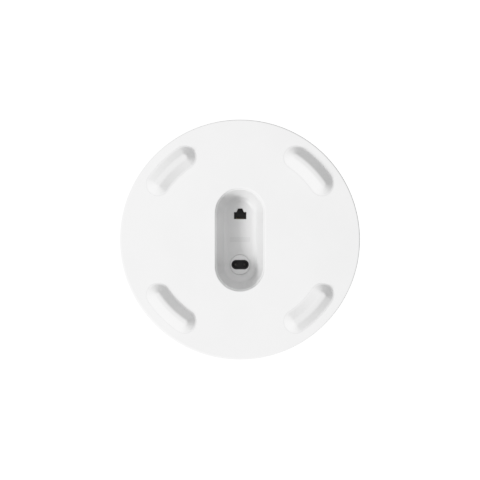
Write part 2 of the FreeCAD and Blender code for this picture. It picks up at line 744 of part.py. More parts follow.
X_CAP = {"x": -53.5, "y": -31.5, "size_x": 18.0, "size_y": 6.5, "height": 12.0}
FUSE = {"x": -49.0, "y": -18.0, "r": 2.6, "length": 14.0, "cap": 3.0,
        "cap_step": 0.2, "lift": 1.0, "clip": 2.0}
RECTIFIER = {"x": -80.0, "y": -21.0, "size_x": 14.0, "size_y": 3.6, "height": 10.0}
PLATE_SINK = {"x": -70.0, "y": 33.5, "size_x": 24.0, "size_y": 2.0, "height": 18.0}


def on_power_board(spec):
    """A block that stands on the power board."""
    return pad_block(spec["x"], spec["y"], spec["size_x"], spec["size_y"], POWER_TOP_Z, spec["height"])


def board_holes(posts, z):
    return [rod(BOARD_HOLE_R, z, z + BOARD_T, x, y) for x, y in posts]


def power_board():
    board = block(POWER_X0, POWER_X1, -POWER_HALF_Y, POWER_HALF_Y, POWER_BOARD_Z, POWER_TOP_Z)
    return board.cut(board_holes(POWER_POSTS, POWER_BOARD_Z))


def board_screws(posts, top_z):
    head_z = top_z + BOARD_SCREW_HEAD_T
    end_z = top_z - BOARD_T - BOARD_SCREW_REACH
    return [
        screw(BOARD_SCREW_R, BOARD_SCREW_HEAD_R, BOARD_SCREW_HEAD_T, head_z, end_z, x, y) for x, y in posts
    ]


def transformer_core():
    """Two E-shaped ferrite halves: a frame with a round middle leg that the bobbin sits on."""
    x, y, width = TRANSFORMER["x"], TRANSFORMER["y"], TRANSFORMER["core_x"]
    low = POWER_TOP_Z + BOBBIN_FOOT_T
    height = TRANSFORMER["height"] - BOBBIN_FOOT_T
    frame = pad_block(x, y, width, CORE_DEPTH, low, height)
    inside_w, inside_h = width - 2 * CORE_LEG, height - 2 * CORE_LEG
    window = pad_block(x, y, inside_w, TRANSFORMER["core_y"], low + CORE_LEG, inside_h)
    middle = rod(CORE_LEG, low, low + height, x, y)
    return fuse([frame.cut(window), middle])


def transformer_bobbin():
    """The wound bobbin with its flanges, and a foot that holds the solder pins."""
    x, y, depth = TRANSFORMER["x"], TRANSFORMER["y"], TRANSFORMER["core_y"]
    low = POWER_TOP_Z + BOBBIN_FOOT_T + CORE_LEG
    high = POWER_TOP_Z + TRANSFORMER["height"] - CORE_LEG
    outer = TRANSFORMER["core_x"] / 2 - CORE_LEG - BOBBIN_PLAY
    parts = [
        rod(outer - WINDING_INSET, low, high, x, y),
        pad_block(x, y, TRANSFORMER["core_x"], depth, POWER_TOP_Z, BOBBIN_FOOT_T),
    ]
    parts += [rod(outer, z, z + BOBBIN_FLANGE_T, x, y) for z in (low, high - BOBBIN_FLANGE_T)]
    side_height = low + BOBBIN_FLANGE_T - POWER_TOP_Z
    for side in (-1, 1):
        side_y = y + side * (depth - BOBBIN_SIDE_T) / 2
        web_y = y + side * (depth - BOBBIN_WEB) / 2
        parts.append(pad_block(x, side_y, outer, BOBBIN_SIDE_T, POWER_TOP_Z, side_height))
        parts.append(pad_block(x, web_y, outer, BOBBIN_WEB, low, BOBBIN_FLANGE_T))
    return fuse(parts).cut([transformer_core(), rod(CORE_LEG, low, high, x, y)])


def capacitors(spec):
    """Upright can capacitors with a rolled groove near the foot."""
    cans = []
    for x, y in spec["places"]:
        can = rod(spec["r"], POWER_TOP_Z, POWER_TOP_Z + spec["height"], x, y)
        groove = Part.makeTorus(spec["r"] + GROOVE_OUT, GROOVE_R, V(x, y, POWER_TOP_Z + GROOVE_Z))
        cans.append(can.cut(groove))
    return cans


def choke():
    """A wound ring that stands on edge."""
    centre = V(CHOKE["x"], CHOKE["y"], POWER_TOP_Z + CHOKE["ring_r"] + CHOKE["wire_r"])
    return Part.makeTorus(CHOKE["ring_r"], CHOKE["wire_r"], centre, Y_AXIS)


def fuse_link():
    """A cartridge fuse that lies along Y in two clips."""
    x, z, cap = FUSE["x"], POWER_TOP_Z + FUSE["r"] + FUSE["lift"], FUSE["cap"]
    y0 = FUSE["y"] - FUSE["length"] / 2
    parts = [side_rod(FUSE["r"] - FUSE["cap_step"], y0, y0 + FUSE["length"], z, x)]
    for y in (y0, y0 + FUSE["length"] - cap):
        parts.append(side_rod(FUSE["r"], y, y + cap, z, x))
        parts.append(pad_block(x, y + cap / 2, FUSE["clip"], cap, POWER_TOP_Z, FUSE["r"]))
    return fuse(parts)


def mains_lead(side, run_y, end_y):
    """A lead from one of the inlet's tabs, over the well's wall and down to the terminal block."""
    run_z = TAB_TOP_Z - MAINS_LEAD_R - LEAD_ON_TAB
    x = side * PIN_SPACING / 2
    if side < 0:
        points = [V(x - TAB_W / 2, run_y, run_z)]
    else:
        points = [V(x, INLET_Y - TAB_T / 2, run_z), V(x, run_y, run_z)]
    points += [
        V(MAINS_DROP_X, run_y, run_z),
        V(TERMINAL["x"], end_y, MAINS_DROP_Z),
        V(TERMINAL["x"], end_y, POWER_TOP_Z + TERMINAL["height"]),
    ]
    return lead(points, MAINS_LEAD_R, LEAD_BEND_R)


def dc_lead():
    """The lead that takes the low voltage from the power board up to the main board."""
    header_x, header_y = DC_HEADER["x"], DC_HEADER["y"]
    socket_x, socket_y = DC_SOCKET["x"], DC_SOCKET["y"]
    points = [
        V(header_x, header_y, POWER_TOP_Z + DC_HEADER["height"]),
        V(header_x, header_y, DC_BEND_LOW_Z),
        V(socket_x, socket_y, DC_BEND_HIGH_Z),
        V(socket_x, socket_y, MAIN_BOARD_Z - DC_SOCKET["height"]),
    ]
    return lead(points, DC_LEAD_R, LEAD_BEND_R)


def header(spec, z0, height):
    return pad_block(spec["x"], spec["y"], spec["size_x"], spec["size_y"], z0, height)


# ---------------------------------------------------------------- main board

DC_SOCKET = {"x": -40.0, "y": 28.0, "size_x": 6.0, "size_y": 8.0, "height": 6.0}
PROCESSOR = {"x": 0.0, "y": 0.0, "size_x": 19.0, "size_y": 19.0, "height": 1.4}
MEMORY = {"places": [(0.0, 20.0), (0.0, -20.0)], "size_x": 12.0, "size_y": 9.0, "height": 1.0}
RADIO_CAN = {"places": [(30.0, 0.0), (-30.0, 0.0)], "size_x": 26.0, "size_y": 34.0, "height": 3.2}
CAN_SHEET = 0.3
MAGNETICS = {"x": 0.0, "y": 42.0, "size_x": 16.0, "size_y": 11.0, "height": 5.5}
SHEET_X0 = -72.0
SHEET_X1 = -47.0
SHEET_Y1 = 36.0
SHEET_T = 0.5
PROCESSOR_PAD_INSET = 2.0
CAN_PAD_INSET = 4.0
SIGNAL_SOCKET = {"x": 0.0, "reach": 72.0, "size_x": 8.0, "size_y": 5.0, "height": 5.0}


def main_board():
    board = rod(MAIN_BOARD_R, MAIN_BOARD_Z, MAIN_TOP_Z)
    return board.cut(board_holes(MAIN_POSTS, MAIN_BOARD_Z))


def insulation_sheet():
    """A thin sheet under the main board, above the mains parts."""
    low_z = MAIN_BOARD_Z - SHEET_T
    return block(SHEET_X0, SHEET_X1, -POWER_HALF_Y, SHEET_Y1, low_z, MAIN_BOARD_Z)


def chips(spec):
    size_x, size_y = spec["size_x"], spec["size_y"]
    return [pad_block(x, y, size_x, size_y, MAIN_TOP_Z, spec["height"]) for x, y in spec["places"]]


def radio_cans():
    """Thin metal boxes, open towards the board, over the two radio sections."""
    cans = []
    for x, y in RADIO_CAN["places"]:
        outer = pad_block(x, y, RADIO_CAN["size_x"], RADIO_CAN["size_y"], MAIN_TOP_Z, RADIO_CAN["height"])
        inner = pad_block(x, y, RADIO_CAN["size_x"] - 2 * CAN_SHEET, RADIO_CAN["size_y"] - 2 * CAN_SHEET,
                          MAIN_TOP_Z, RADIO_CAN["height"] - CAN_SHEET)
        cans.append(outer.cut(inner))
    return cans


def thermal_pads():
    """Soft pads that fill the space from the processor and the radio cans up to the heat sink."""
    pads = []
    on_top = [
        (PROCESSOR, [(PROCESSOR["x"], PROCESSOR["y"])], PROCESSOR_PAD_INSET),
        (RADIO_CAN, RADIO_CAN["places"], CAN_PAD_INSET),
    ]
    for spec, places, inset in on_top:
        low = MAIN_TOP_Z + spec["height"]
        for x, y in places:
            pads.append(pad_block(x, y, spec["size_x"] - inset, spec["size_y"] - inset, low, SINK_Z - low))
    return pads


def heat_sink():
    """A round cast plate with parallel fins on top and four legs down to the board."""
    plate = rod(SINK_R, SINK_Z, SINK_Z + SINK_T)
    fins = []
    for i in range(-FINS_EACH_SIDE, FINS_EACH_SIDE + 1):
        x = i * FIN_PITCH
        half = math.sqrt((SINK_R - FIN_MARGIN) ** 2 - x ** 2)
        fins.append(block(x - FIN_W / 2, x + FIN_W / 2, -half, half, SINK_Z, SINK_Z + SINK_T + FIN_H))
    legs = []
    for x in (-SINK_LEG_REACH, SINK_LEG_REACH):
        for y in (-SINK_LEG_REACH, SINK_LEG_REACH):
            legs.append(rod(SINK_LEG_R, MAIN_TOP_Z, SINK_Z + SINK_T, x, y))
    return fuse([plate] + fins + legs)


def antenna(angle):
    """A folded metal antenna: an upright strip with a lip on top and two legs on the board."""
    half = ANTENNA_L / 2
    outer, top = ANTENNA_R + ANTENNA_T, MAIN_TOP_Z + ANTENNA_H
    parts = [
        block(ANTENNA_R, outer, -half, half, MAIN_TOP_Z + ANTENNA_GAP, top),
        block(ANTENNA_R - ANTENNA_LIP, outer, -half, half, top - ANTENNA_T, top),
    ]
    for y in (-half, -half + ANTENNA_FEED):
        parts.append(block(ANTENNA_R, outer, y, y + ANTENNA_LEG_W, MAIN_TOP_Z, MAIN_TOP_Z + ANTENNA_LEG_H))
    return turned(fuse(parts), angle)


# ---------------------------------------------------------------- button and status light


def button_cap():
    """The round cap that shows in the side wall, its flange behind the wall and its stem."""
    cap = side_rod(BUTTON_R, BUTTON_FLANGE_Y0, BODY_R, SIDE_Z)
    face_edge = [e for e in cap.Edges if e.BoundBox.YMin > BUTTON_FLANGE_Y1]
    cap = cap.makeFillet(BUTTON_EDGE_R, face_edge)
    flange = side_rod(BUTTON_FLANGE_R, BUTTON_FLANGE_Y0, BUTTON_FLANGE_Y1, SIDE_Z)
    stem = side_rod(BUTTON_STEM_R, BUTTON_STEM_Y, BUTTON_FLANGE_Y0, SIDE_Z)
    return fuse([cap, flange, stem])


def switch_plunger():
    """The switch's own plunger, which the cap's stem pushes."""
    return side_rod(PLUNGER_R, PLUNGER_Y0, PLUNGER_Y1, SIDE_Z)


def switch_body():
    """The square tactile switch, with a bore that leaves room for the plunger's travel."""
    body = block(-SWITCH_HALF, SWITCH_HALF, SWITCH_Y0, SWITCH_Y1, SIDE_Z - SWITCH_HALF, SIDE_Z + SWITCH_HALF)
    assert PLUNGER_Y0 - SWITCH_BORE_Y > BUTTON_TRAVEL
    return body.cut(side_rod(PLUNGER_R + PLUNGER_FIT, SWITCH_BORE_Y, SWITCH_Y1, SIDE_Z))


def side_board(front):
    y0, y1 = side_board_span(front)
    return block(-SIDE_BOARD_HALF_X, SIDE_BOARD_HALF_X, y0, y1, SIDE_BOARD_Z0, SIDE_BOARD_Z1)


def status_lens():
    """The clear pill that closes the hole in the front wall, flush with it, with a flange inside."""
    nose = pill(LENS_W - 2 * LENS_FIT, LENS_H - 2 * LENS_FIT, -BODY_R - 1, LENS_FLANGE_Y1, SIDE_Z, SIDE_Z)
    nose = nose.common(rod(BODY_R, SIDE_Z - LENS_H, SIDE_Z + LENS_H))
    width, height = LENS_W + 2 * LENS_FLANGE, LENS_H + 2 * LENS_FLANGE
    flange = pill(width, height, LENS_FLANGE_Y0, LENS_FLANGE_Y1, SIDE_Z, SIDE_Z)
    return fuse([nose, flange])


def status_led():
    half_x, half_z = LED_W / 2, LED_H / 2
    return block(-half_x, half_x, LED_Y, STATUS_BOARD_Y, SIDE_Z - half_z, SIDE_Z + half_z)


def signal_lead(front):
    """A lead from a small board, up to its socket under the main board."""
    way = -1 if front else 1
    face = STATUS_BOARD_Y + SIDE_BOARD_T if front else SWITCH_Y0 - SIDE_BOARD_T
    reach = SIGNAL_SOCKET["reach"]
    low_z, high_z = SIDE_BOARD_Z1 - SIGNAL_RUN_BELOW, MAIN_BOARD_Z - SIGNAL_SOCKET["height"]
    points = [
        V(0, face, low_z),
        V(0, way * (abs(face) - SIGNAL_RUN_BACK), low_z),
        V(0, way * reach, high_z - SIGNAL_RUN_BACK),
        V(0, way * reach, high_z),
    ]
    return lead(points, SIGNAL_LEAD_R, LEAD_BEND_R)


def signal_sockets():
    s = SIGNAL_SOCKET
    z0 = MAIN_BOARD_Z - s["height"]
    size_x, size_y = s["size_x"], s["size_y"]
    return [pad_block(s["x"], way * s["reach"], size_x, size_y, z0, s["height"]) for way in (-1, 1)]


# ---------------------------------------------------------------- build


def build_housing():
    export("bottom_housing", bottom_housing())
    export("inner_chassis", chassis())
    export("top_cover", top_cover())
    export("vent_ring", vent_ring())
    for place, angle in FOOT_ANGLES.items():
        export("foot_" + place, turned(foot(), angle))
    export("housing_screws", *housing_screws())


def build_ports():
    export("port_well", port_well())
    export("well_screws", *well_screws())
    export("rating_label", rating_label())
    export("ethernet_socket_body", jack_body())
    export("ethernet_socket_shield", jack_shield())
    export("ethernet_contacts", *jack_contacts())
    export("power_inlet_bezel", inlet_bezel())
    export("power_inlet_body", inlet_body())
    export("power_inlet_pins", *inlet_pins())
    export("inlet_screws", *inlet_screws())


def build_power_supply():
    export("power_board", power_board())
    export("power_board_screws", *board_screws(POWER_POSTS, POWER_TOP_Z))
    export("terminal_block", on_power_board(TERMINAL))
    export("transformer_core", transformer_core())
    export("transformer_bobbin", transformer_bobbin())
    export("bulk_capacitors", *capacitors(BULK_CAP))
    export("output_capacitors", *capacitors(OUTPUT_CAP))
    export("filter_choke", choke())
    export("filter_capacitor", on_power_board(X_CAP))
    export("mains_fuse", fuse_link())
    export("bridge_rectifier", on_power_board(RECTIFIER))
    export("plate_heat_sink", on_power_board(PLATE_SINK))
    export("live_lead", mains_lead(-1, INLET_Y, LIVE_END_Y))
    export("neutral_lead", mains_lead(1, INLET_Y - NEUTRAL_STEP, NEUTRAL_END_Y))
    export("dc_header", on_power_board(DC_HEADER))
    export("dc_lead", dc_lead())


def build_main_board():
    export("main_board", main_board())
    export("main_board_screws", *board_screws(MAIN_POSTS, MAIN_TOP_Z))
    export("insulation_sheet", insulation_sheet())
    export("dc_socket", header(DC_SOCKET, MAIN_BOARD_Z - DC_SOCKET["height"], DC_SOCKET["height"]))
    export("processor", header(PROCESSOR, MAIN_TOP_Z, PROCESSOR["height"]))
    export("memory_chips", *chips(MEMORY))
    export("radio_cans", *radio_cans())
    magnetics_z = MAIN_BOARD_Z - MAGNETICS["height"]
    export("ethernet_transformer", header(MAGNETICS, magnetics_z, MAGNETICS["height"]))
    export("thermal_pads", *thermal_pads())
    export("heat_sink", heat_sink())
    for i, angle in enumerate((0, 90, 180, 270)):
        export("antenna_%d" % (i + 1), antenna(angle))
    export("signal_sockets", *signal_sockets())


def build_side_parts():
    export("button_cap", button_cap())
    export("switch_plunger", switch_plunger())
    export("switch_body", switch_body())
    export("button_board", side_board(front=False))
    export("button_lead", signal_lead(front=False))
    export("status_lens", status_lens())
    export("status_led", status_led())
    export("status_board", side_board(front=True))
    export("status_lead", signal_lead(front=True))


os.makedirs("parts", exist_ok=True)
build_housing()
build_ports()
build_power_supply()
build_main_board()
build_side_parts()
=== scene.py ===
# %% [markdown]
# # A round wireless access point, seen from below
#
# The object is a white, low, round box that stands on four soft feet. Its cables enter a deep
# well in the base, where an ethernet socket and a two-pin power inlet sit side by side.
# The solid model has the right sizes and hidden works. This lesson builds the surfaces that
# people see, gives every part a finish, and sets up a plain studio.
#
# The first cell loads the solid model. It is a fixed frame: nothing in it is moved, and its
# boxes say where each new piece goes.

# %% Load the frame
import math

import bmesh
import bpy
from mathutils import Matrix, Vector


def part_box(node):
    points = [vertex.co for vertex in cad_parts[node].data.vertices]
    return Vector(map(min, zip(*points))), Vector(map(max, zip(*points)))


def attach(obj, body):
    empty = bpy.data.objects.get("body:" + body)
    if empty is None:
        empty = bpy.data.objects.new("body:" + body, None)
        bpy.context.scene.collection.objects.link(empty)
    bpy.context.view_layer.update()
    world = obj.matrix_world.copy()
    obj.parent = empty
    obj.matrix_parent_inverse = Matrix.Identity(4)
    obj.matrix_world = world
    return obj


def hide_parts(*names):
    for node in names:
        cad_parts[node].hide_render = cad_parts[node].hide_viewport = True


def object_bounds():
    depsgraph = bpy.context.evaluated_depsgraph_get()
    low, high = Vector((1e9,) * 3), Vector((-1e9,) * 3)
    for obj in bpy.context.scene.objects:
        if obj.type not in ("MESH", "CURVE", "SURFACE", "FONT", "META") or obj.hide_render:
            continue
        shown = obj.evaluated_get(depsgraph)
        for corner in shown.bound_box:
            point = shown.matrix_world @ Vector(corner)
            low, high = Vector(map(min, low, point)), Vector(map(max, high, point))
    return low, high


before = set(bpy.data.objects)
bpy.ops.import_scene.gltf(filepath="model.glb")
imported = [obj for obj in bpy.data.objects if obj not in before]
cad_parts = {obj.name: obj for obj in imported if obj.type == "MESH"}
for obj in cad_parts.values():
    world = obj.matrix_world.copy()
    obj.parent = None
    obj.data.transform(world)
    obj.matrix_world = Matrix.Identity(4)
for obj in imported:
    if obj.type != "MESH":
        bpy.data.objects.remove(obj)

cad_low, cad_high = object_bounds()
MM = 0.001
print("frame:", len(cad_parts), "parts,", [round(v / MM, 1) for v in cad_high - cad_low], "mm")

# %% [markdown]
# ## Sizes
#
# A real maker works from one drawing, so every main size here is read from the frame's boxes.
# What a box can't tell, such as a corner radius or a draft angle, gets a named value.
# All of it is in millimetres, and turns into metres only where a point becomes a vertex.

# %% Read the sizes that the frame knows


def box(node):
    """Lowest and highest corner of a part of the frame, in millimetres."""
    low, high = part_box(node)
    return low / MM, high / MM


tray_low, tray_high = box("bottom_housing")
cover_low, cover_high = box("top_cover")
label_low, label_high = box("rating_label")
jack_low, jack_high = box("ethernet_socket_body")
bezel_low, bezel_high = box("power_inlet_bezel")
inlet_low, inlet_high = box("power_inlet_body")
pins_low, pins_high = box("power_inlet_pins")
cap_low, cap_high = box("button_cap")
lens_low = box("status_lens")[0]
FOOT_ROOT_Z = box("foot_rear_right")[1].z

BODY_R = tray_high.x
BASE_Z = tray_low.z
WALL = 2.2
INNER_R = BODY_R - WALL
TRAY_TOP_Z = 13.0
TRAY_FLOOR_Z = 9.5
WELL_FLOOR_Z = label_high.z
SIDE_Z = (cap_low.z + cap_high.z) / 2
INLET_Y = (inlet_low.y + inlet_high.y) / 2
print("radius", round(BODY_R, 2), "base", round(BASE_Z, 2), "well floor", round(WELL_FLOOR_Z, 2))

# %% [markdown]
# ## Skins made of rings
#
# Moulded plastic is mostly outlines carried along a section: a circle for the tray, a stadium
# for the well, a bean for each foot. A modifier such as Screw could turn the round ones, but
# not the others. So one small class does all of them with bmesh: it lays down rings of points,
# joins each ring to the next with quads, and fills flat areas between rings.
# Real fillets come from the section, so edges catch light without any shading trick.

# %% A class that builds skins


class Skin:
    """A surface made of rings of points, in millimetres."""

    def __init__(self, place=None):
        self.mesh = bmesh.new()
        self.place = place or Matrix.Identity(4)

    def ring(self, points):
        """One closed ring of vertices."""
        return [self.mesh.verts.new((self.place @ Vector(p)) * MM) for p in points]

    def join(self, low, high, skip=()):
        """A band of quads between two rings that have the same number of points."""
        count = len(low)
        for i in range(count):
            if i not in skip:
                after = (i + 1) % count
                self.mesh.faces.new((low[i], low[after], high[after], high[i]))

    def sweep(self, outline, section):
        """Carries an outline along the (size, z) points of a section. Gives its first and last ring."""
        rings = [self.ring([(x, y, z) for x, y in outline(size)]) for size, z in section]
        for low, high in zip(rings, rings[1:]):
            self.join(low, high)
        return rings[0], rings[-1]

    def cap(self, *rings):
        """Fills the flat area inside the first ring and outside all the others."""
        edges = []
        for ring in rings:
            for a, b in zip(ring, ring[1:] + ring[:1]):
                edges.append(self.mesh.edges.get((a, b)) or self.mesh.edges.new((a, b)))
        bmesh.ops.triangle_fill(self.mesh, use_beauty=True, edges=edges)

    def solid(self, outline, section):
        """A sweep that is closed at both ends."""
        for end in self.sweep(outline, section):
            self.cap(end)

    def finish(self, name, crease=35.0):
        """Turns the skin into an object whose flat areas stay flat and whose fillets shade smoothly."""
        bmesh.ops.recalc_face_normals(self.mesh, faces=self.mesh.faces)
        open_edges = sum(1 for edge in self.mesh.edges if not edge.is_manifold)
        data = bpy.data.meshes.new(name)
        self.mesh.to_mesh(data)
        self.mesh.free()
        data.shade_smooth()
        data.set_sharp_from_angle(angle=math.radians(crease))
        piece = bpy.data.objects.new(name, data)
        bpy.context.scene.collection.objects.link(piece)
        weighted = piece.modifiers.new("flat areas lead", "WEIGHTED_NORMAL")
        weighted.keep_sharp = True
        print(name, len(data.polygons), "faces,", open_edges, "open edges")
        return piece


# %% [markdown]
# ## Outlines
#
# Each outline is a function that takes a size and gives a loop of points. Sweeping it through
# growing sizes makes a fillet that keeps an even width all round, as a mould cutter would.

# %% The outlines of this product


def polar(radius, degrees):
    """A point at a distance and an angle from the middle."""
    return radius * math.cos(math.radians(degrees)), radius * math.sin(math.radians(degrees))


def run(start, end, steps):
    """Evenly spread numbers from start to end, both included."""
    return [start + (end - start) * i / steps for i in range(steps + 1)]


def disc(x=0.0, y=0.0, count=96):
    """A circle. Its size is the radius."""
    def outline(radius):
        spokes = [polar(radius, 360 * i / count) for i in range(count)]
        return [(x + px, y + py) for px, py in spokes]
    return outline


def stadium(straight, x=0.0, y=0.0, along_x=False, steps=48):
    """Two half circles with straight sides between. Its size is the half width."""
    def outline(half):
        points = []
        for side, start in ((1, 0), (-1, 180)):
            for angle in run(start, start + 180, steps):
                px, py = polar(half, angle)
                points.append((px, py + side * straight))
        if along_x:
            points = [(py, -px) for px, py in points]
        return [(x + px, y + py) for px, py in points]
    return outline


def bean(middle_r, half_angle, turn):
    """A short arc with round ends, about the product's own axis. Its size is the half width."""
    def outline(half):
        points = [polar(middle_r + half, a) for a in run(turn - half_angle, turn + half_angle, 48)]
        for side, start in ((1, turn + half_angle), (-1, turn - half_angle)):
            cx, cy = polar(middle_r, start)
            sweep_from = start if side > 0 else start + 180
            ends = [polar(half, a) for a in run(sweep_from, sweep_from + 180, 32)][1:-1]
            points += [(cx + px, cy + py) for px, py in ends]
            if side > 0:
                inner = run(turn + half_angle, turn - half_angle, 48)
                points += [polar(middle_r - half, a) for a in inner]
        return points
    return outline


def rounded_box(half_x, half_y, corner, x=0.0, y=0.0):
    """A rectangle with rounded corners. Its size is how much it grows on every side."""
    def outline(grow):
        points = []
        for quarter, (sx, sy) in enumerate(((1, 1), (-1, 1), (-1, -1), (1, -1))):
            for angle in run(90 * quarter, 90 * quarter + 90, 8):
                px, py = polar(corner + grow, angle)
                points.append((x + sx * (half_x - corner) + px, y + sy * (half_y - corner) + py))
        return points
    return outline


def fillet(centre, radius, start, end, steps=12):
    """The rounded corner of a section, from one angle to another, as (size, z) points."""
    return [(centre[0] + px, centre[1] + pz)
            for px, pz in (polar(radius, a) for a in run(start, end, steps))]


# %% [markdown]
# ## Dressing a piece
#
# Every new piece hides the part of the frame that it stands for, rides on that part's body,
# and is named for one of the product's finishes. One helper does all of it, so that no piece
# is forgotten. The finishes come later, so this cell only notes which piece wants which.

# %% A helper that puts a finished piece in its place
wanted_finish = {}


def dress(piece, stands_for, finish_name, body="housing"):
    """Ties a piece to the frame and notes its finish."""
    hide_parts(*stands_for)
    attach(piece, body)
    wanted_finish[piece] = finish_name
    print(piece.name, "rides on", body, "and wants", finish_name)


# %% [markdown]
# ## The tray
#
# The tray is the face of this product: a flat white disc with a soft outer edge, a drafted
# mouth for the cables and four pockets that the feet press into. It is one moulding, so it is
# one skin. The outer wall, the rim round the mouth, and the pockets are swept from their own
# sections, and the flat face between them is filled last.
#
# The mouth narrows by 15 degrees as it goes in, which is what lets the mould come out. Its lip
# is a true arc that touches both the base and the sloping wall.

# %% Shape the tray
EDGE_R = 2.0
RIM_ROUND = 0.35
FLOOR_ROUND = 0.4
MOUTH_HALF = 23.0
MOUTH_STRAIGHT = 24.5
DRAFT = 15.0
LIP_R = 0.9
RIM_WIDTH = 7.5
RIM_HALF = MOUTH_HALF + RIM_WIDTH


def draft_in(rise):
    """How far a drafted wall has moved in after a rise."""
    return rise * math.tan(math.radians(DRAFT))


def draft_touch(radius):
    """Distance from a drafted corner to where a fillet of this radius touches."""
    return radius / math.tan(math.radians((90 + DRAFT) / 2))


tray = Skin()
wall_section = fillet((BODY_R - EDGE_R, BASE_Z + EDGE_R), EDGE_R, -90, 0)
wall_section += fillet((BODY_R - RIM_ROUND, TRAY_TOP_Z - RIM_ROUND), RIM_ROUND, 0, 90, 5)
wall_section += fillet((INNER_R + RIM_ROUND, TRAY_TOP_Z - RIM_ROUND), RIM_ROUND, 90, 180, 5)
wall_section += fillet((INNER_R - FLOOR_ROUND, TRAY_FLOOR_Z + FLOOR_ROUND), FLOOR_ROUND, 0, -90, 4)
base_rim, floor_rim = tray.sweep(disc(count=288), wall_section)

lip_centre = (MOUTH_HALF + draft_touch(LIP_R), BASE_Z + LIP_R)
throat_half = MOUTH_HALF - draft_in(TRAY_TOP_Z - BASE_Z)
mouth_section = fillet(lip_centre, LIP_R, -90, -90 - (90 - DRAFT), 8) + [(throat_half, TRAY_TOP_Z)]
mouth_outline = stadium(MOUTH_STRAIGHT)
lip, throat = tray.sweep(mouth_outline, mouth_section)
rim_top, rim_foot = tray.sweep(mouth_outline, [(RIM_HALF, TRAY_TOP_Z), (RIM_HALF, TRAY_FLOOR_Z)])
tray.cap(rim_top, throat)
print("mouth", 2 * MOUTH_HALF, "by", 2 * (MOUTH_HALF + MOUTH_STRAIGHT), "mm")
print("half width of the throat", round(throat_half, 2), "mm")

# %% [markdown]
# Each foot has a pocket, and above the pocket a raised seat with a screw boss that reaches up
# to the cover. The same few sweeps are repeated at 45, 135, 225 and 315 degrees.

# %% Add the foot pockets and screw bosses to the tray
FOOT_CENTRE_R = 90.4
FOOT_HALF_ANGLE = 10.9
FOOT_HALF = 11.1
FOOT_FIT = 0.05
POCKET_EDGE = 0.06
SEAT_WALL = 1.8
SEAT_HALF = FOOT_HALF + SEAT_WALL
SEAT_TOP_Z = 11.0
HEAD_R = 2.9
HEAD_Z = 10.4
SCREW_CLEAR_R = 1.7
BOSS_R = 4.5
BOSS_TOP_Z = tray_high.z
FOOT_TURNS = {"rear_right": 45, "rear_left": 135, "front_left": 225, "front_right": 315}

pocket_half = FOOT_HALF + FOOT_FIT
pocket_section = [(pocket_half + POCKET_EDGE, BASE_Z), (pocket_half, BASE_Z + POCKET_EDGE),
                  (pocket_half, FOOT_ROOT_Z)]
bore_section = [(HEAD_R, FOOT_ROOT_Z), (HEAD_R, HEAD_Z), (SCREW_CLEAR_R, HEAD_Z),
                (SCREW_CLEAR_R, BOSS_TOP_Z), (BOSS_R, BOSS_TOP_Z), (BOSS_R, SEAT_TOP_Z)]
pocket_rings = []
seat_rings = []
for turn in FOOT_TURNS.values():
    foot_outline = bean(FOOT_CENTRE_R, FOOT_HALF_ANGLE, turn)
    screw_hole = disc(*polar(FOOT_CENTRE_R, turn), count=48)
    pocket_mouth, pocket_top = tray.sweep(foot_outline, pocket_section)
    seat_top, seat_foot = tray.sweep(foot_outline, [(SEAT_HALF, SEAT_TOP_Z), (SEAT_HALF, TRAY_FLOOR_Z)])
    bore_mouth, boss_foot = tray.sweep(screw_hole, bore_section)
    tray.cap(pocket_top, bore_mouth)
    tray.cap(seat_top, boss_foot)
    pocket_rings.append(pocket_mouth)
    seat_rings.append(seat_foot)

tray.cap(base_rim, lip, *pocket_rings)
tray.cap(floor_rim, rim_foot, *seat_rings)
dress(tray.finish("tray"), ["bottom_housing"], "housing_white")

# %% [markdown]
# ## The feet
#
# A foot is a soft ridge of rubbery white plastic, curved to follow the tray's edge. In section
# it has a small flat crest to stand on, a round shoulder, a sloping flank, and a hollow toe
# that runs out level with the base. A cube with a Bevel modifier would give hard, even edges.
# Sweeping the true section along a bean outline gives the soft look, and it keeps the round
# ends of the ridge the same shape as its sides.

# %% Shape the four feet
CREST_HALF = 0.8
FOOT_SLOPE = 43.0
FOOT_FLANK = 10.3
TOE_R = 3.0
slope = math.radians(FOOT_SLOPE)
crest_r = (FOOT_FLANK - BASE_Z / math.tan(slope)) / math.tan(slope / 2) - TOE_R
foot_section = fillet((CREST_HALF, crest_r), crest_r, -90, FOOT_SLOPE - 90, 16)
foot_section += fillet((FOOT_HALF, BASE_Z - TOE_R), TOE_R, FOOT_SLOPE + 90, 90, 12)
foot_section += [(FOOT_HALF, FOOT_ROOT_Z)]
for place, turn in FOOT_TURNS.items():
    foot = Skin()
    foot.solid(bean(FOOT_CENTRE_R, FOOT_HALF_ANGLE, turn), foot_section)
    dress(foot.finish("soft_foot_" + place), ["foot_" + place], "foot_white")
print("crest radius", round(crest_r, 2), "mm")

# %% [markdown]
# ## The port well
#
# Behind the mouth hangs a separate cup. It is a little smaller than the throat that it meets,
# which leaves the fine step just inside the lip. Its wall keeps the same draft, and a fillet
# carries it into the floor, where the two sockets show. The ethernet opening is a rectangle
# with a stepped notch for the plug's latch. The power inlet has a round hole. On the hidden side
# stand two bosses for the inlet's screws. They are closed shapes that sink a little into the
# wall, which is simpler than cutting them into its rounded corner.

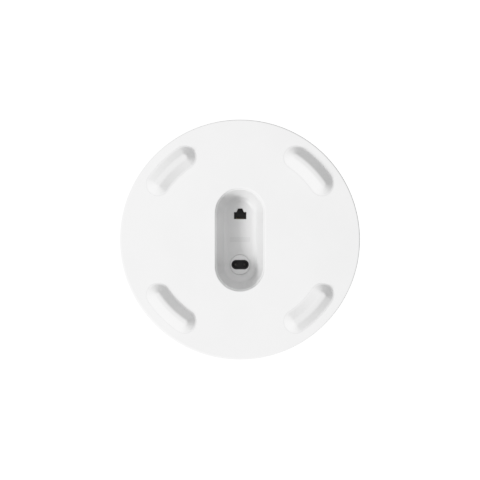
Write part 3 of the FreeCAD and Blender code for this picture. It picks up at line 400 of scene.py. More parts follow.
# %% Shape the port well
WELL_STEP = 0.3
WELL_WALL = 1.8
WELL_FLOOR_T = 2.0
WELL_BACK_Z = WELL_FLOOR_Z + WELL_FLOOR_T
FLOOR_FILLET = 5.5
BACK_FILLET = 3.0
FLANGE_T = 2.0
WELL_EDGE = 0.25
JACK_Y = 22.5
JACK_W = 11.6
JACK_H = 6.5
LATCH_BASE_W = 7.0
LATCH_TOP_W = 4.0
LATCH_H = 3.4
INLET_HOLE_R = 9.5
HOLE_EDGE = 0.25
EAR_X = 13.4
EAR_BOSS_R = 2.5
BOSS_SUNK = 1.0


def jack_outline(grow):
    """The ethernet opening, grown on every side."""
    low, high = JACK_Y - JACK_H / 2 - grow, JACK_Y + JACK_H / 2 + grow
    half, base, top = JACK_W / 2 + grow, LATCH_BASE_W / 2 + grow, LATCH_TOP_W / 2 + grow
    right = [(half, low), (half, high), (base, high), (top, high + LATCH_H)]
    return right + [(-x, y) for x, y in reversed(right)]


def well_corner(half_at_rim, z_top, radius):
    """Where a drafted wall turns into the flat at its top, as a section."""
    half_top = half_at_rim - draft_in(z_top - TRAY_TOP_Z)
    centre = (half_top - draft_touch(radius), z_top - radius)
    return fillet(centre, radius, DRAFT, 90, 16)


well = Skin()
inner_half = throat_half - WELL_STEP
outer_half = inner_half + WELL_WALL
flange_top_z = TRAY_TOP_Z + FLANGE_T
well_section = list(reversed(well_corner(inner_half, WELL_FLOOR_Z, FLOOR_FILLET)))
well_section += fillet((inner_half + WELL_EDGE, TRAY_TOP_Z + WELL_EDGE), WELL_EDGE, 180 + DRAFT, 270, 4)
well_section += [(RIM_HALF, TRAY_TOP_Z), (RIM_HALF, flange_top_z)]
well_section += [(outer_half - draft_in(FLANGE_T), flange_top_z)]
well_section += well_corner(outer_half, WELL_BACK_Z, BACK_FILLET)
floor_ring, back_ring = well.sweep(mouth_outline, well_section)

opening_section = [(HOLE_EDGE, WELL_FLOOR_Z), (0.0, WELL_FLOOR_Z + HOLE_EDGE), (0.0, WELL_BACK_Z)]
jack_front, jack_back = well.sweep(jack_outline, opening_section)
inlet_section = fillet((INLET_HOLE_R + HOLE_EDGE, WELL_FLOOR_Z + HOLE_EDGE), HOLE_EDGE, 270, 180, 4)
inlet_section += [(INLET_HOLE_R, WELL_BACK_Z)]
inlet_front, inlet_back = well.sweep(disc(0.0, INLET_Y), inlet_section)
boss_section = [(EAR_BOSS_R, WELL_BACK_Z - BOSS_SUNK), (EAR_BOSS_R, box("port_well")[1].z)]
for side in (-1, 1):
    well.solid(disc(side * EAR_X, INLET_Y, 32), boss_section)
well.cap(floor_ring, jack_front, inlet_front)
well.cap(back_ring, jack_back, inlet_back)
dress(well.finish("cable_well"), ["port_well"], "well_white")

# %% [markdown]
# ## The rating label
#
# Between the sockets sits a small foil label. The real thing carries printed facts, and this
# one stays blank. It is still a real sheet with round corners and a thickness, because its
# edge is what makes it show at all on a white floor.

# %% Make the blank label
LABEL_CORNER = 0.7
LABEL_EDGE = 0.04
label_half = (label_high - label_low) / 2
label_middle = (label_high + label_low) / 2
label_outline = rounded_box(label_half.x, label_half.y, LABEL_CORNER, label_middle.x, label_middle.y)
label = Skin()
label.solid(label_outline, [
    (-LABEL_EDGE, label_low.z), (0.0, label_low.z + LABEL_EDGE), (0.0, label_high.z)])
dress(label.finish("blank_label"), ["rating_label"], "label_white")

# %% [markdown]
# ## The ethernet socket
#
# The socket is a black block behind the opening with a deep cavity of the same outline. At
# arm's length it reads as one dark shape, so the cavity has to be truly hollow: a painted
# black patch would not darken towards its back. The eight gold wires and the steel shield of
# the frame are already right and stay.

# %% Shape the ethernet socket
JACK_DEPTH_Z = 51.5
SOCKET_CORNER = 0.8
SOCKET_EDGE = 0.4
CAVITY_LEAD_IN = 0.3
socket_half = (jack_high - jack_low) / 2
socket_middle = (jack_high + jack_low) / 2
socket = Skin()
socket_outline = rounded_box(
    socket_half.x, socket_half.y, SOCKET_CORNER, socket_middle.x, socket_middle.y)
socket_front, socket_back = socket.sweep(socket_outline, [
    (-SOCKET_EDGE, jack_low.z), (0.0, jack_low.z + SOCKET_EDGE),
    (0.0, jack_high.z - SOCKET_EDGE), (-SOCKET_EDGE, jack_high.z)])
cavity_front, cavity_back = socket.sweep(jack_outline, [
    (CAVITY_LEAD_IN, jack_low.z), (0.0, jack_low.z + CAVITY_LEAD_IN), (0.0, JACK_DEPTH_Z)])
socket.cap(socket_front, cavity_front)
socket.cap(cavity_back)
socket.cap(socket_back)
dress(socket.finish("ethernet_socket"), ["ethernet_socket_body"], "socket_black")

# %% [markdown]
# ## The power inlet
#
# The inlet is a round white bezel that pokes through the well's floor, with a black, pill
# shaped shroud inside it and two round pins inside that. The fine dark ring round the bezel is
# the gap to the hole's edge, so both edges have their own small fillets.

# %% Shape the bezel, the shroud and the pins
NOSE_R = 9.3
NOSE_EDGE = 0.35
BEZEL_BODY_Z = 39.2
EAR_HALF = (3.5, 3.0)
EAR_CORNER = 2.9
EAR_Z = 43.0
SHROUD_WALL = 0.75
SHROUD_EDGE = 0.25
CAVITY_Z = 47.5
INLET_FIT = 0.05
PIN_R = 1.2
PIN_SPACING = 8.6
PIN_TIP_EDGE = 0.7
PIN_END_Z = 50.0
TAB_HALF = (1.3, 0.4)
TAB_CORNER = 0.2
shroud_r = (inlet_high.y - inlet_low.y) / 2
shroud_straight = (inlet_high.x - inlet_low.x) / 2 - shroud_r
pill = stadium(shroud_straight, 0.0, INLET_Y, along_x=True)

bezel = Skin()
bezel_r = (bezel_high.y - bezel_low.y) / 2
nose_section = fillet((NOSE_R - NOSE_EDGE, bezel_low.z + NOSE_EDGE), NOSE_EDGE, -90, 0, 6)
nose_section += [(NOSE_R, BEZEL_BODY_Z), (bezel_r, BEZEL_BODY_Z), (bezel_r, bezel_high.z)]
nose_face, bezel_back = bezel.sweep(disc(0.0, INLET_Y), nose_section)
hole_r = shroud_r + INLET_FIT
hole_front, hole_back = bezel.sweep(pill, [
    (hole_r + SHROUD_EDGE, bezel_low.z), (hole_r, bezel_low.z + SHROUD_EDGE), (hole_r, bezel_high.z)])
bezel.cap(nose_face, hole_front)
bezel.cap(bezel_back, hole_back)
for side in (-1, 1):
    ear = rounded_box(*EAR_HALF, EAR_CORNER, side * (bezel_high.x - EAR_HALF[0]), INLET_Y)
    bezel.solid(ear, [(0.0, EAR_Z), (0.0, bezel_high.z)])
dress(bezel.finish("inlet_bezel"), ["power_inlet_bezel"], "inlet_white")

shroud = Skin()
cavity_r = shroud_r - SHROUD_WALL
lip_r = SHROUD_WALL / 2
shroud_section = [(cavity_r, CAVITY_Z)]
shroud_section += fillet((cavity_r + lip_r, inlet_low.z + lip_r), lip_r, 180, 360, 10)
shroud_section += [(shroud_r, inlet_high.z)]
shroud.solid(pill, shroud_section)
dress(shroud.finish("inlet_shroud"), ["power_inlet_body"], "inlet_black")

pins = Skin()
for side in (-1, 1):
    pin_x = side * PIN_SPACING / 2
    tip = fillet((PIN_R - PIN_TIP_EDGE, pins_low.z + PIN_TIP_EDGE), PIN_TIP_EDGE, -90, 0, 8)
    pin_tip, pin_end = pins.sweep(disc(pin_x, INLET_Y, 40), tip + [(PIN_R, PIN_END_Z)])
    tab = rounded_box(*TAB_HALF, TAB_CORNER, pin_x, INLET_Y)
    tab_foot, tab_end = pins.sweep(tab, [(0.0, PIN_END_Z), (0.0, pins_high.z)])
    pins.cap(pin_tip)
    pins.cap(pin_end, tab_foot)
    pins.cap(tab_end)
dress(pins.finish("inlet_pins"), ["power_inlet_pins"], "pin_nickel")

# %% [markdown]
# ## The cover
#
# The cover is a turned shape: an upright side, a wide shoulder and a shallow crown. It could be
# a Screw modifier with Boolean holes, but Booleans leave ragged shading on a curved wall.
# Here the wall is a grid, the squares round each hole are left out, and a patch of rings
# takes the grid's own border down to the hole. Every point of the patch lies on the cylinder.

# %% Turn the cover, and leave room for two patches
COLUMNS = 360
CROWN_R = 620.0
SHOULDER_R = 18.0
COVER_EDGE = 0.35
PATCH_COLUMNS = 7
PATCH_HALF_Z = 7.0
PATCH_ROWS = 14
EYE_R = 0.8
cover_top_z = cover_high.z
crown_centre_z = cover_top_z - CROWN_R
shoulder_r = BODY_R - SHOULDER_R
shoulder_z = crown_centre_z + math.sqrt((CROWN_R - SHOULDER_R) ** 2 - shoulder_r ** 2)
meet = math.degrees(math.atan2(shoulder_z - crown_centre_z, shoulder_r))
patch_z = run(SIDE_Z - PATCH_HALF_Z, SIDE_Z + PATCH_HALF_Z, PATCH_ROWS)
BUTTON_TURN = 90
LIGHT_TURN = 270


def dome_section(inset):
    """Side, shoulder and crown of the cover, moved inwards."""
    side = [(BODY_R - inset, z) for z in patch_z]
    shoulder = fillet((shoulder_r, shoulder_z), SHOULDER_R - inset, 0, meet, 26)
    crown = fillet((0.0, crown_centre_z), CROWN_R - inset, meet, 90, 40)[1:-1]
    return side + shoulder + crown + [(EYE_R, cover_top_z - inset)]


cover = Skin()
turned_outline = disc(count=COLUMNS)
left_out = set()
for turn in (BUTTON_TURN, LIGHT_TURN):
    left_out.update(range(turn - PATCH_COLUMNS, turn + PATCH_COLUMNS))
shells = []
for inset in (0.0, WALL):
    rings = [cover.ring([(x, y, z) for x, y in turned_outline(r)]) for r, z in dome_section(inset)]
    for row, (low, high) in enumerate(zip(rings, rings[1:])):
        cover.join(low, high, left_out if row < PATCH_ROWS else ())
    cover.cap(rings[-1])
    shells.append(rings)
edge_z = cover_low.z + COVER_EDGE
lower_edge = list(reversed(fillet((BODY_R - COVER_EDGE, edge_z), COVER_EDGE, -90, 0, 4)))
lower_edge += list(reversed(fillet((INNER_R + COVER_EDGE, edge_z), COVER_EDGE, 180, 270, 4)))
outer_edge, inner_edge = cover.sweep(turned_outline, lower_edge)
cover.join(outer_edge, shells[0][0])
cover.join(inner_edge, shells[1][0])
print("shoulder starts at", round(shoulder_z, 1), "mm")
print("crown meets it at", round(90 - meet, 1), "degrees")

# %% [markdown]
# The patch walks round the border of the left-out squares, and for each border point finds
# where the line from the hole's middle crosses the hole's edge. Rings between the two share
# out the distance. The hole's rim is then rounded and goes straight through the wall.

# %% Close the cover round the button and the status light
PATCH_RINGS = 5
RIM_STEPS = 4
HOLE_ROUND = 0.3
BUTTON_HOLE_R = 4.8
LIGHT_HALF_W = 4.0
LIGHT_HALF_H = 1.2


def button_reach(angle):
    """Distance from the button's middle to its hole's edge."""
    return BUTTON_HOLE_R


def light_reach(angle):
    """Distance from the light's middle to its hole's edge, a pill that lies on its side."""
    across, up = abs(math.cos(angle)), abs(math.sin(angle))
    straight = LIGHT_HALF_W - LIGHT_HALF_H
    if up * straight >= across * LIGHT_HALF_H:
        return LIGHT_HALF_H / up
    return straight * across + math.sqrt(LIGHT_HALF_H ** 2 - (straight * up) ** 2)


def border(turn, rings):
    """The grid's own vertices round a patch, with their places on the unrolled wall."""
    left, right = turn - PATCH_COLUMNS, turn + PATCH_COLUMNS
    walk = [(column, 0) for column in range(left, right)]
    walk += [(right, row) for row in range(PATCH_ROWS)]
    walk += [(column, PATCH_ROWS) for column in range(right, left, -1)]
    walk += [(left, row) for row in range(PATCH_ROWS, 0, -1)]
    places = [(math.radians(column - turn) * BODY_R, patch_z[row] - SIDE_Z) for column, row in walk]
    return [rings[row][column % COLUMNS] for column, row in walk], places


def on_wall(turn, u, v, radius):
    """A point of the wall from its place on the unrolled surface."""
    x, y = polar(radius, turn + math.degrees(u / BODY_R))
    return x, y, SIDE_Z + v


for turn, reach in ((BUTTON_TURN, button_reach), (LIGHT_TURN, light_reach)):
    hole_edges = []
    for rings, inset in zip(shells, (0.0, WALL)):
        edge, places = border(turn, rings)
        rim = HOLE_ROUND if inset == 0.0 else 0.0
        for share in run(0.0, 1.0, PATCH_RINGS)[1:]:
            points = []
            for u, v in places:
                far = math.hypot(u, v)
                near = reach(math.atan2(v, u)) + rim
                scale = (far + (near - far) * share) / far
                points.append(on_wall(turn, u * scale, v * scale, BODY_R - inset))
            inner = cover.ring(points)
            cover.join(edge, inner)
            edge = inner
        hole_edges.append(edge)
    edge = hole_edges[0]
    for bend in run(0.0, math.pi / 2, RIM_STEPS)[1:]:
        points = []
        for u, v in places:
            near = reach(math.atan2(v, u)) + HOLE_ROUND * (1 - math.sin(bend))
            scale = near / math.hypot(u, v)
            depth = HOLE_ROUND * (1 - math.cos(bend))
            points.append(on_wall(turn, u * scale, v * scale, BODY_R - depth))
        inner = cover.ring(points)
        cover.join(edge, inner)
        edge = inner
    cover.join(edge, hole_edges[1])

# %% [markdown]
# Inside, four posts come down from the cover to meet the tray's bosses. Each has a blind pilot
# hole for its screw. The hole and the post are one sweep: up the hole's wall, across the end of
# the post and back up its outside.

# %% Add the posts for the screws
COVER_BOSS_R = 4.2
PILOT_R = 1.5
PILOT_TOP_Z = 34.0
BOSS_ROOT_Z = 60.0
BOSS_GAP = 0.2
post_end_z = BOSS_TOP_Z + BOSS_GAP
post_section = [(PILOT_R, PILOT_TOP_Z), (PILOT_R, post_end_z),
                (COVER_BOSS_R, post_end_z), (COVER_BOSS_R, BOSS_ROOT_Z)]
for turn in FOOT_TURNS.values():
    cover.solid(disc(*polar(FOOT_CENTRE_R, turn), count=40), post_section)
dress(cover.finish("domed_cover"), ["top_cover"], "cover_white")

# %% [markdown]
# ## The button and the status light
#
# Both sit in the side wall, so they are swept upright and then tipped onto their sides. The
# button has a shallow dish for a fingertip and a flange that stops it falling out. It rides on
# its own body, because it is the one part that moves. The light is a small frosted window.

# %% Shape the button and the light window
CAP_R = 4.5
CAP_EDGE = 0.45
DISH = [(0.8, 0.28), (1.6, 0.26), (2.4, 0.2), (3.1, 0.11), (3.7, 0.03)]
FLANGE_EDGE = 0.15
FLANGE_R = 6.0
FLANGE_Y = (106.1, 107.2)
BUTTON_STEM_R = 2.0


def tipped(degrees):
    """A place in the side wall for a piece that is swept upright and tipped over."""
    return Matrix.Translation((0.0, 0.0, SIDE_Z)) @ Matrix.Rotation(math.radians(degrees), 4, "X")


button = Skin(tipped(-90))
button_section = [(r, cap_high.y - depth) for r, depth in DISH]
button_section += fillet((CAP_R - CAP_EDGE, cap_high.y - CAP_EDGE), CAP_EDGE, 90, 0, 8)
button_section += [(CAP_R, FLANGE_Y[1]), (FLANGE_R - FLANGE_EDGE, FLANGE_Y[1]),
                   (FLANGE_R, FLANGE_Y[1] - FLANGE_EDGE), (FLANGE_R, FLANGE_Y[0]),
                   (BUTTON_STEM_R, FLANGE_Y[0]), (BUTTON_STEM_R, cap_low.y)]
button.solid(disc(), button_section)
dress(button.finish("pairing_button"), ["button_cap"], "button_white", "button")

LENS_FIT = 0.05
LENS_EDGE = 0.2
LENS_FLANGE = 1.2
LENS_FLANGE_Y = (106.0, 107.2)
lens = Skin(tipped(90))
lens_face = -lens_low.y
lens_r = LIGHT_HALF_H - LENS_FIT
lens_section = fillet((lens_r - LENS_EDGE, lens_face - LENS_EDGE), LENS_EDGE, 90, 0, 5)
lens_section += [(lens_r, LENS_FLANGE_Y[1]), (lens_r + LENS_FLANGE, LENS_FLANGE_Y[1]),
                 (lens_r + LENS_FLANGE, LENS_FLANGE_Y[0])]
lens.solid(stadium(LIGHT_HALF_W - LIGHT_HALF_H, along_x=True), lens_section)
dress(lens.finish("light_window"), ["status_lens"], "lens_clear")

# %% [markdown]
# ## Node groups: the effects that finishes share
#
# The finishes here have the same few things in common: a fine moulded grain, edges that have been
# handled, a dust grey painted as shade into the corners, drawing marks on metal. Each effect is a
# shader group with named inputs and outputs. It puts out a mask or a height, and the material decides
# what to do with it. The helpers below keep the wiring short.

# %% Helpers that add and wire nodes


def add(tree, kind, settings=None, **sockets):
    """Adds a shader node. Sockets named here are filled, or linked if they are given an output."""
    made = tree.nodes.new("ShaderNode" + kind)
    for name, value in (settings or {}).items():
        setattr(made, name, value)
    for name, value in sockets.items():
        plug(tree, made.inputs[name.replace("_", " ")], value)
    return made


def plug(tree, socket, value):
    """Links an output to a socket, or sets the socket's own value."""
    if isinstance(value, bpy.types.NodeSocket):
        tree.links.new(value, socket)
    else:
        socket.default_value = value


def calc(tree, operation, a, b=0.0):
    """One step of arithmetic."""
    made = add(tree, "Math", {"operation": operation})
    plug(tree, made.inputs[0], a)
    plug(tree, made.inputs[1], b)
    return made.outputs[0]


def remap(tree, value, low, high, to_low=0.0, to_high=1.0):
    """Stretches the span from low to high over a new span, and clips the rest."""
    made = add(tree, "MapRange", Value=value, From_Min=low, From_Max=high,
               To_Min=to_low, To_Max=to_high)
    return made.outputs["Result"]


def mix_colours(tree, share, a, b):
    """One colour between two."""
    made = add(tree, "Mix", {"data_type": "RGBA"})
    plug(tree, made.inputs[0], share)
    plug(tree, made.inputs[6], a)
    plug(tree, made.inputs[7], b)
    return made.outputs[2]


def place_on(tree, stretch=None):
    """The object's own coordinates, stretched along each axis if that is asked for."""
    place = add(tree, "TexCoord").outputs["Object"]
    if stretch is None:
        return place
    made = add(tree, "VectorMath", {"operation": "MULTIPLY"})
    plug(tree, made.inputs[0], place)
    plug(tree, made.inputs[1], stretch)
    return made.outputs["Vector"]


def noise(tree, scale, detail, roughness=0.5, stretch=None):
    """Cloudy noise that stays with the object, from 0 to 1."""
    made = add(tree, "TexNoise", Vector=place_on(tree, stretch), Scale=scale, Detail=detail,
               Roughness=roughness)
    return made.outputs["Fac"]


def new_group(name, inputs, outputs):
    """An empty group with its named inputs (and their usual values) and outputs."""
    tree = bpy.data.node_groups.new(name, "ShaderNodeTree")
    for label, value in inputs.items():
        socket = tree.interface.new_socket(label, in_out="INPUT", socket_type="NodeSocketFloat")
        socket.default_value = value
    for label in outputs:
        tree.interface.new_socket(label, in_out="OUTPUT", socket_type="NodeSocketFloat")
    print("group", name, "takes", list(inputs), "and gives", outputs)
    return tree, tree.nodes.new("NodeGroupInput").outputs, tree.nodes.new("NodeGroupOutput").inputs


def use(tree, group, **values):
    """Places a group in a material with its own values."""
    made = tree.nodes.new("ShaderNodeGroup")
    made.node_tree = group
    for name, value in values.items():
        made.inputs[name.replace("_", " ")].default_value = value
    return made.outputs


# %% [markdown]
# **Moulded grain.** Injection moulds are spark-eroded, which leaves a fine pebbled skin. A
# noise at the grain's size gives its height, and a second, much larger one gives the slight
# unevenness of tone that stops a white part looking like paper.

# %% Build the moulded grain group
grain, given, result = new_group(
    "moulded grain", {"Grain Scale": 1800.0, "Mottle Scale": 26.0}, ["Height", "Mottle"])
plug(grain, result["Height"], noise(grain, given["Grain Scale"], 3.0, 0.6))
clouds = noise(grain, given["Mottle Scale"], 4.0, 0.55)
plug(grain, result["Mottle"], remap(grain, clouds, 0.32, 0.68))

# %% [markdown]
# **Handled edges.** The Bevel node gives the normal that a rounded edge would have. Where it
# turns away from the true normal there is an edge, and noise breaks the line up, because
# wear is never even.

# %% Build the handled edge group
edges, given, result = new_group(
    "handled edges", {"Width": 0.0006, "Break Up": 180.0}, ["Mask"])
rounded = add(edges, "Bevel", {"samples": 4}, Radius=given["Width"])
true_normal = add(edges, "NewGeometry").outputs["Normal"]
facing = add(edges, "VectorMath", {"operation": "DOT_PRODUCT"})
plug(edges, facing.inputs[0], rounded.outputs["Normal"])
plug(edges, facing.inputs[1], true_normal)
turned_away = remap(edges, calc(edges, "SUBTRACT", 1.0, facing.outputs["Value"]), 0.01, 0.2)
patchy = remap(edges, noise(edges, given["Break Up"], 3.0), 0.35, 0.65)
plug(edges, result["Mask"], calc(edges, "MULTIPLY", turned_away, patchy))

# %% [markdown]
# ** Painted corner shade.** Ambient occlusion finds corners and creases, and a dust grey is mixed
# in there as painted shade. Noise breaks it into loose patches.

# %% Build the painted corner shade group
corner_shade, given, result = new_group(
    "painted corner shade", {"Reach": 0.004, "Breakup Scale": 900.0}, ["Mask"])
open_sky = add(corner_shade, "AmbientOcclusion", {"samples": 8}, Distance=given["Reach"]).outputs["AO"]
corners = remap(corner_shade, calc(corner_shade, "SUBTRACT", 1.0, open_sky), 0.25, 0.9)
breakup = remap(corner_shade, noise(corner_shade, given["Breakup Scale"], 2.0), 0.4, 0.7)
plug(corner_shade, result["Mask"], calc(corner_shade, "MULTIPLY", corners, breakup))

# %% [markdown]
# **Drawn metal.** Rolled and drawn metal has long fine lines in one direction. Noise with its
# coordinates squeezed along one axis gives them, as a mask and as a height.

# %% Build the drawn metal group
drawn, given, result = new_group(
    "drawn metal", {"Line Scale": 900.0, "Stretch": 0.03}, ["Height", "Lines"])
along = add(drawn, "CombineXYZ", X=1.0, Y=given["Stretch"], Z=1.0).outputs["Vector"]
lines = noise(drawn, given["Line Scale"], 4.0, 0.65, along)
plug(drawn, result["Height"], lines)
plug(drawn, result["Lines"], remap(drawn, lines, 0.3, 0.7))

# %% [markdown]
# **Board tracks.** A circuit board shows copper tracks under its lacquer as slightly raised,
# lighter lines with square corners. Two cell patterns, one stretched along the board and one
# across it, give broken runs that cross nearly at right angles.

# %% Build the board track group
tracks, given, result = new_group(
    "board tracks", {"Pitch Scale": 260.0, "Width": 0.09}, ["Height", "Tracks"])
runs = []
for stretch in ((1.0, 0.32, 1.0), (0.32, 1.0, 1.0)):
    cells = add(tracks, "TexVoronoi", {"feature": "DISTANCE_TO_EDGE"},
                Vector=place_on(tracks, stretch), Scale=given["Pitch Scale"], Randomness=0.35)
    runs.append(calc(tracks, "LESS_THAN", cells.outputs["Distance"], given["Width"]))
both = calc(tracks, "MAXIMUM", *runs)
plug(tracks, result["Height"], both)
plug(tracks, result["Tracks"], both)

# %% [markdown]
# **Wound turns.** Wire and tape on a former lie side by side. A sine band along the axis gives
# one ridge for each turn.

# %% Build the wound turn group
turns, given, result = new_group("wound turns", {"Turns Scale": 300.0}, ["Height", "Gaps"])
bands = add(turns, "TexWave", {"bands_direction": "Z"}, Vector=place_on(turns),
            Scale=given["Turns Scale"], Distortion=0.4)
plug(turns, result["Height"], bands.outputs["Fac"])
plug(turns, result["Gaps"], remap(turns, bands.outputs["Fac"], 0.0, 0.35, 1.0, 0.0))

# %% [markdown]
# ## Plastic finishes
#
# One recipe makes every moulded plastic: a base colour that drifts a little with the mottle,
# worn edges and painted corner shade laid over it, a roughness that drifts the other way, and the grain
# as a bump.
# Numbers that are the same all over stay on the shader's own sockets.

# %% The recipe for moulded plastic
finishes = {}


def start_finish(name):
    """Files a new material that has only its shader and output, and gives its nodes."""
    material = bpy.data.materials.new(name)
    material.use_nodes = True
    finishes[name] = material
    return material.node_tree


def complete(tree, colour, roughness, height, strength, depth, **plain):
    """Wires what changes over the surface, and sets the plain numbers on the shader itself."""
    shader = tree.nodes["Principled BSDF"]
    bump = add(tree, "Bump", Strength=strength, Distance=depth, Height=height)
    plug(tree, shader.inputs["Base Color"], colour)
    plug(tree, shader.inputs["Roughness"], roughness)
    plug(tree, shader.inputs["Normal"], bump.outputs["Normal"])
    for label, number in plain.items():
        shader.inputs[label.replace("_", " ")].default_value = number


def rgba(colour, factor=1.0):
    """A grey or a colour as four numbers."""
    parts = (colour,) * 3 if isinstance(colour, float) else colour
    return tuple(min(1.0, part * factor) for part in parts) + (1.0,)


DRIFT = 0.97
POLISH_DRIFT = 0.04
EDGE_SHARE = 0.25
# A dust grey that is mixed into corners and creases as painted shade.
CORNER_SHADE_COLOUR = (0.55, 0.53, 0.5)


def moulded(name, colour, roughness, grain_scale=1800.0, grain_depth=0.00002, edge=1.05,
            corner_shade_share=0.15, **plain):
    """Moulded plastic, from glossy black to satin white."""
    tree = start_finish(name)
    skin = use(tree, grain, Grain_Scale=grain_scale)
    worn = calc(tree, "MULTIPLY", use(tree, edges)["Mask"], EDGE_SHARE)
    # The corner shade mask mixes a dust grey into corners and creases as painted shade, and it also
    # raises the roughness there.
    corner_shade_amount = calc(tree, "MULTIPLY", use(tree, corner_shade)["Mask"], corner_shade_share)
    tone = mix_colours(tree, skin["Mottle"], rgba(colour), rgba(colour, DRIFT))
    tone = mix_colours(tree, worn, tone, rgba(colour, edge))
    tone = mix_colours(tree, corner_shade_amount, tone, rgba(CORNER_SHADE_COLOUR))
    polish = remap(tree, skin["Mottle"], 0.0, 1.0, roughness + POLISH_DRIFT, roughness - POLISH_DRIFT)
    rough = calc(tree, "ADD", polish, corner_shade_amount)
    complete(tree, tone, rough, skin["Height"], strength=0.35, depth=grain_depth, **plain)


WHITE = 0.875
moulded("housing_white", WHITE, 0.46, corner_shade_share=0.06)
moulded("cover_white", WHITE, 0.42, grain_scale=2000.0, corner_shade_share=0.06)
# well_white is the housing's white made darker: painted shade for the inside of the deep well.
moulded("well_white", 0.725, 0.36, grain_scale=1600.0, corner_shade_share=0.08)
# inlet_white is darkened to the tone of the well floor: painted shade on the bezel deep in the well.
moulded("inlet_white", 0.77, 0.38, grain_scale=2400.0, corner_shade_share=0.1)
moulded("button_white", 0.86, 0.36, grain_scale=2400.0, corner_shade_share=0.05)
moulded("connector_white", (0.8, 0.79, 0.74), 0.4)
moulded("led_cream", (0.82, 0.76, 0.55), 0.3)
moulded("vent_grey", 0.2, 0.55, edge=1.3, corner_shade_share=0.35)
moulded("chassis_grey", 0.3, 0.55, edge=1.2, corner_shade_share=0.3)
moulded("socket_black", 0.085, 0.42, edge=1.6, corner_shade_share=0.1)
moulded("inlet_black", 0.034, 0.34, edge=1.8, corner_shade_share=0.06)
moulded("plunger_black", 0.03, 0.4, edge=2.0)
moulded("terminal_green", (0.04, 0.28, 0.09), 0.4, edge=1.3)
moulded("fuse_ceramic", (0.72, 0.7, 0.64), 0.32, grain_depth=0.00001)
print("plastics:", len(finishes))

# %% [markdown]
# ## Soft and sheet finishes
#
# The feet are a soft elastomer: rougher, very slightly darker than the housing, with a velvety
# sheen at grazing angles. Leads, pads, films and tape share the moulded recipe. What sets them
# apart, such as a sheen or a clear coat, is a plain number that the recipe hands to the shader.

# %% Finishes for the feet, the leads, the film, the label and the tape
moulded("foot_white", 0.78, 0.62, grain_scale=1400.0, grain_depth=0.00003, corner_shade_share=0.05,
        Sheen_Weight=0.12, Sheen_Roughness=0.5)
LEAD_COLOURS = {"lead_brown": (0.16, 0.06, 0.02), "lead_blue": (0.02, 0.1, 0.4), "lead_grey": 0.28}
for name, colour in LEAD_COLOURS.items():
    moulded(name, colour, 0.48, grain_scale=900.0)
moulded("thermal_pad_grey", (0.36, 0.4, 0.44), 0.8, grain_scale=700.0, grain_depth=0.00006)
moulded("insulation_film", (0.62, 0.6, 0.46), 0.25, grain_depth=0.00001, Coat_Weight=0.3)
moulded("label_white", 0.685, 0.34, grain_scale=3000.0, grain_depth=0.000006, corner_shade_share=0.0,
        Coat_Weight=0.4, Coat_Roughness=0.2)
moulded("capacitor_sleeve", (0.03, 0.035, 0.05), 0.28, grain_depth=0.00001, edge=2.0,
        Coat_Weight=0.5)
moulded("film_capacitor", (0.72, 0.55, 0.08), 0.35)
moulded("chip_black", 0.035, 0.6, grain_scale=2600.0, edge=1.8)
moulded("ferrite", (0.07, 0.07, 0.075), 0.7, grain_scale=1200.0, grain_depth=0.00005, edge=1.6)
print("finishes so far:", len(finishes))

# %% [markdown]
# ## Wound parts and boards
#
# The transformer's tape and the choke's copper get the wound turns as a height. Boards get the
# tracks as both a colour and a height, under a glossy lacquer.

# %% Finishes for windings and circuit boards


ROUGHNESS_SPAN = 0.1


def uneven(tree, share, roughness):
    """A roughness that rises by a little where the share is high."""
    return remap(tree, share, 0.0, 1.0, roughness, roughness + ROUGHNESS_SPAN)


def wound(name, colour, gap_colour, roughness, metallic, turn_scale):
    """Turns of wire or tape with darker gaps."""
    tree = start_finish(name)
    laid = use(tree, turns, Turns_Scale=turn_scale)
    mottle = use(tree, grain)["Mottle"]
    tone = mix_colours(tree, mottle, rgba(colour), rgba(colour, 0.85))
    tone = mix_colours(tree, laid["Gaps"], tone, rgba(gap_colour))
    complete(tree, tone, uneven(tree, mottle, roughness), laid["Height"], strength=0.6,
             depth=0.0002, Metallic=metallic)


wound("winding_tape", (0.75, 0.62, 0.12), (0.4, 0.3, 0.05), 0.35, 0.0, 120.0)
wound("copper_winding", (0.72, 0.3, 0.12), (0.12, 0.04, 0.02), 0.3, 0.8, 420.0)

tree = start_finish("board_green")
layout = use(tree, tracks)
mottle = use(tree, grain, Grain_Scale=1200.0)["Mottle"]
lacquer = mix_colours(tree, mottle, rgba((0.008, 0.09, 0.035)), rgba((0.012, 0.11, 0.045)))
copper_under_lacquer = mix_colours(tree, layout["Tracks"], lacquer, rgba((0.03, 0.2, 0.08)))
complete(tree, copper_under_lacquer, uneven(tree, mottle, 0.25), layout["Height"], strength=0.5,
         depth=0.00004, Coat_Weight=0.4)
print("windings and boards bring it to", len(finishes))

# %% [markdown]
# ## Metals
#
# Screws, shields, pins and fins differ in colour and in how fine their drawn lines are. The
# lines change both the tint and the roughness, so a highlight breaks up along them.

# %% Finishes for metal parts


TARNISH = 0.8
BRIGHT_EDGE = 1.15
METAL_EDGE_WIDTH = 0.0003
METAL_EDGE_SHARE = 0.5


def metal(name, colour, roughness, line_scale, stretch=0.03):
    """Drawn, rolled or plated metal."""
    tree = start_finish(name)
    marks = use(tree, drawn, Line_Scale=line_scale, Stretch=stretch)
    edge_mask = use(tree, edges, Width=METAL_EDGE_WIDTH)["Mask"]
    worn = calc(tree, "MULTIPLY", edge_mask, METAL_EDGE_SHARE)
    tone = mix_colours(tree, marks["Lines"], rgba(colour, TARNISH), rgba(colour))
    tone = mix_colours(tree, worn, tone, rgba(colour, BRIGHT_EDGE))
    rough = remap(tree, marks["Lines"], 0.0, 1.0, roughness + ROUGHNESS_SPAN, roughness)
    complete(tree, tone, rough, marks["Height"], strength=0.3, depth=0.00002, Metallic=1.0)


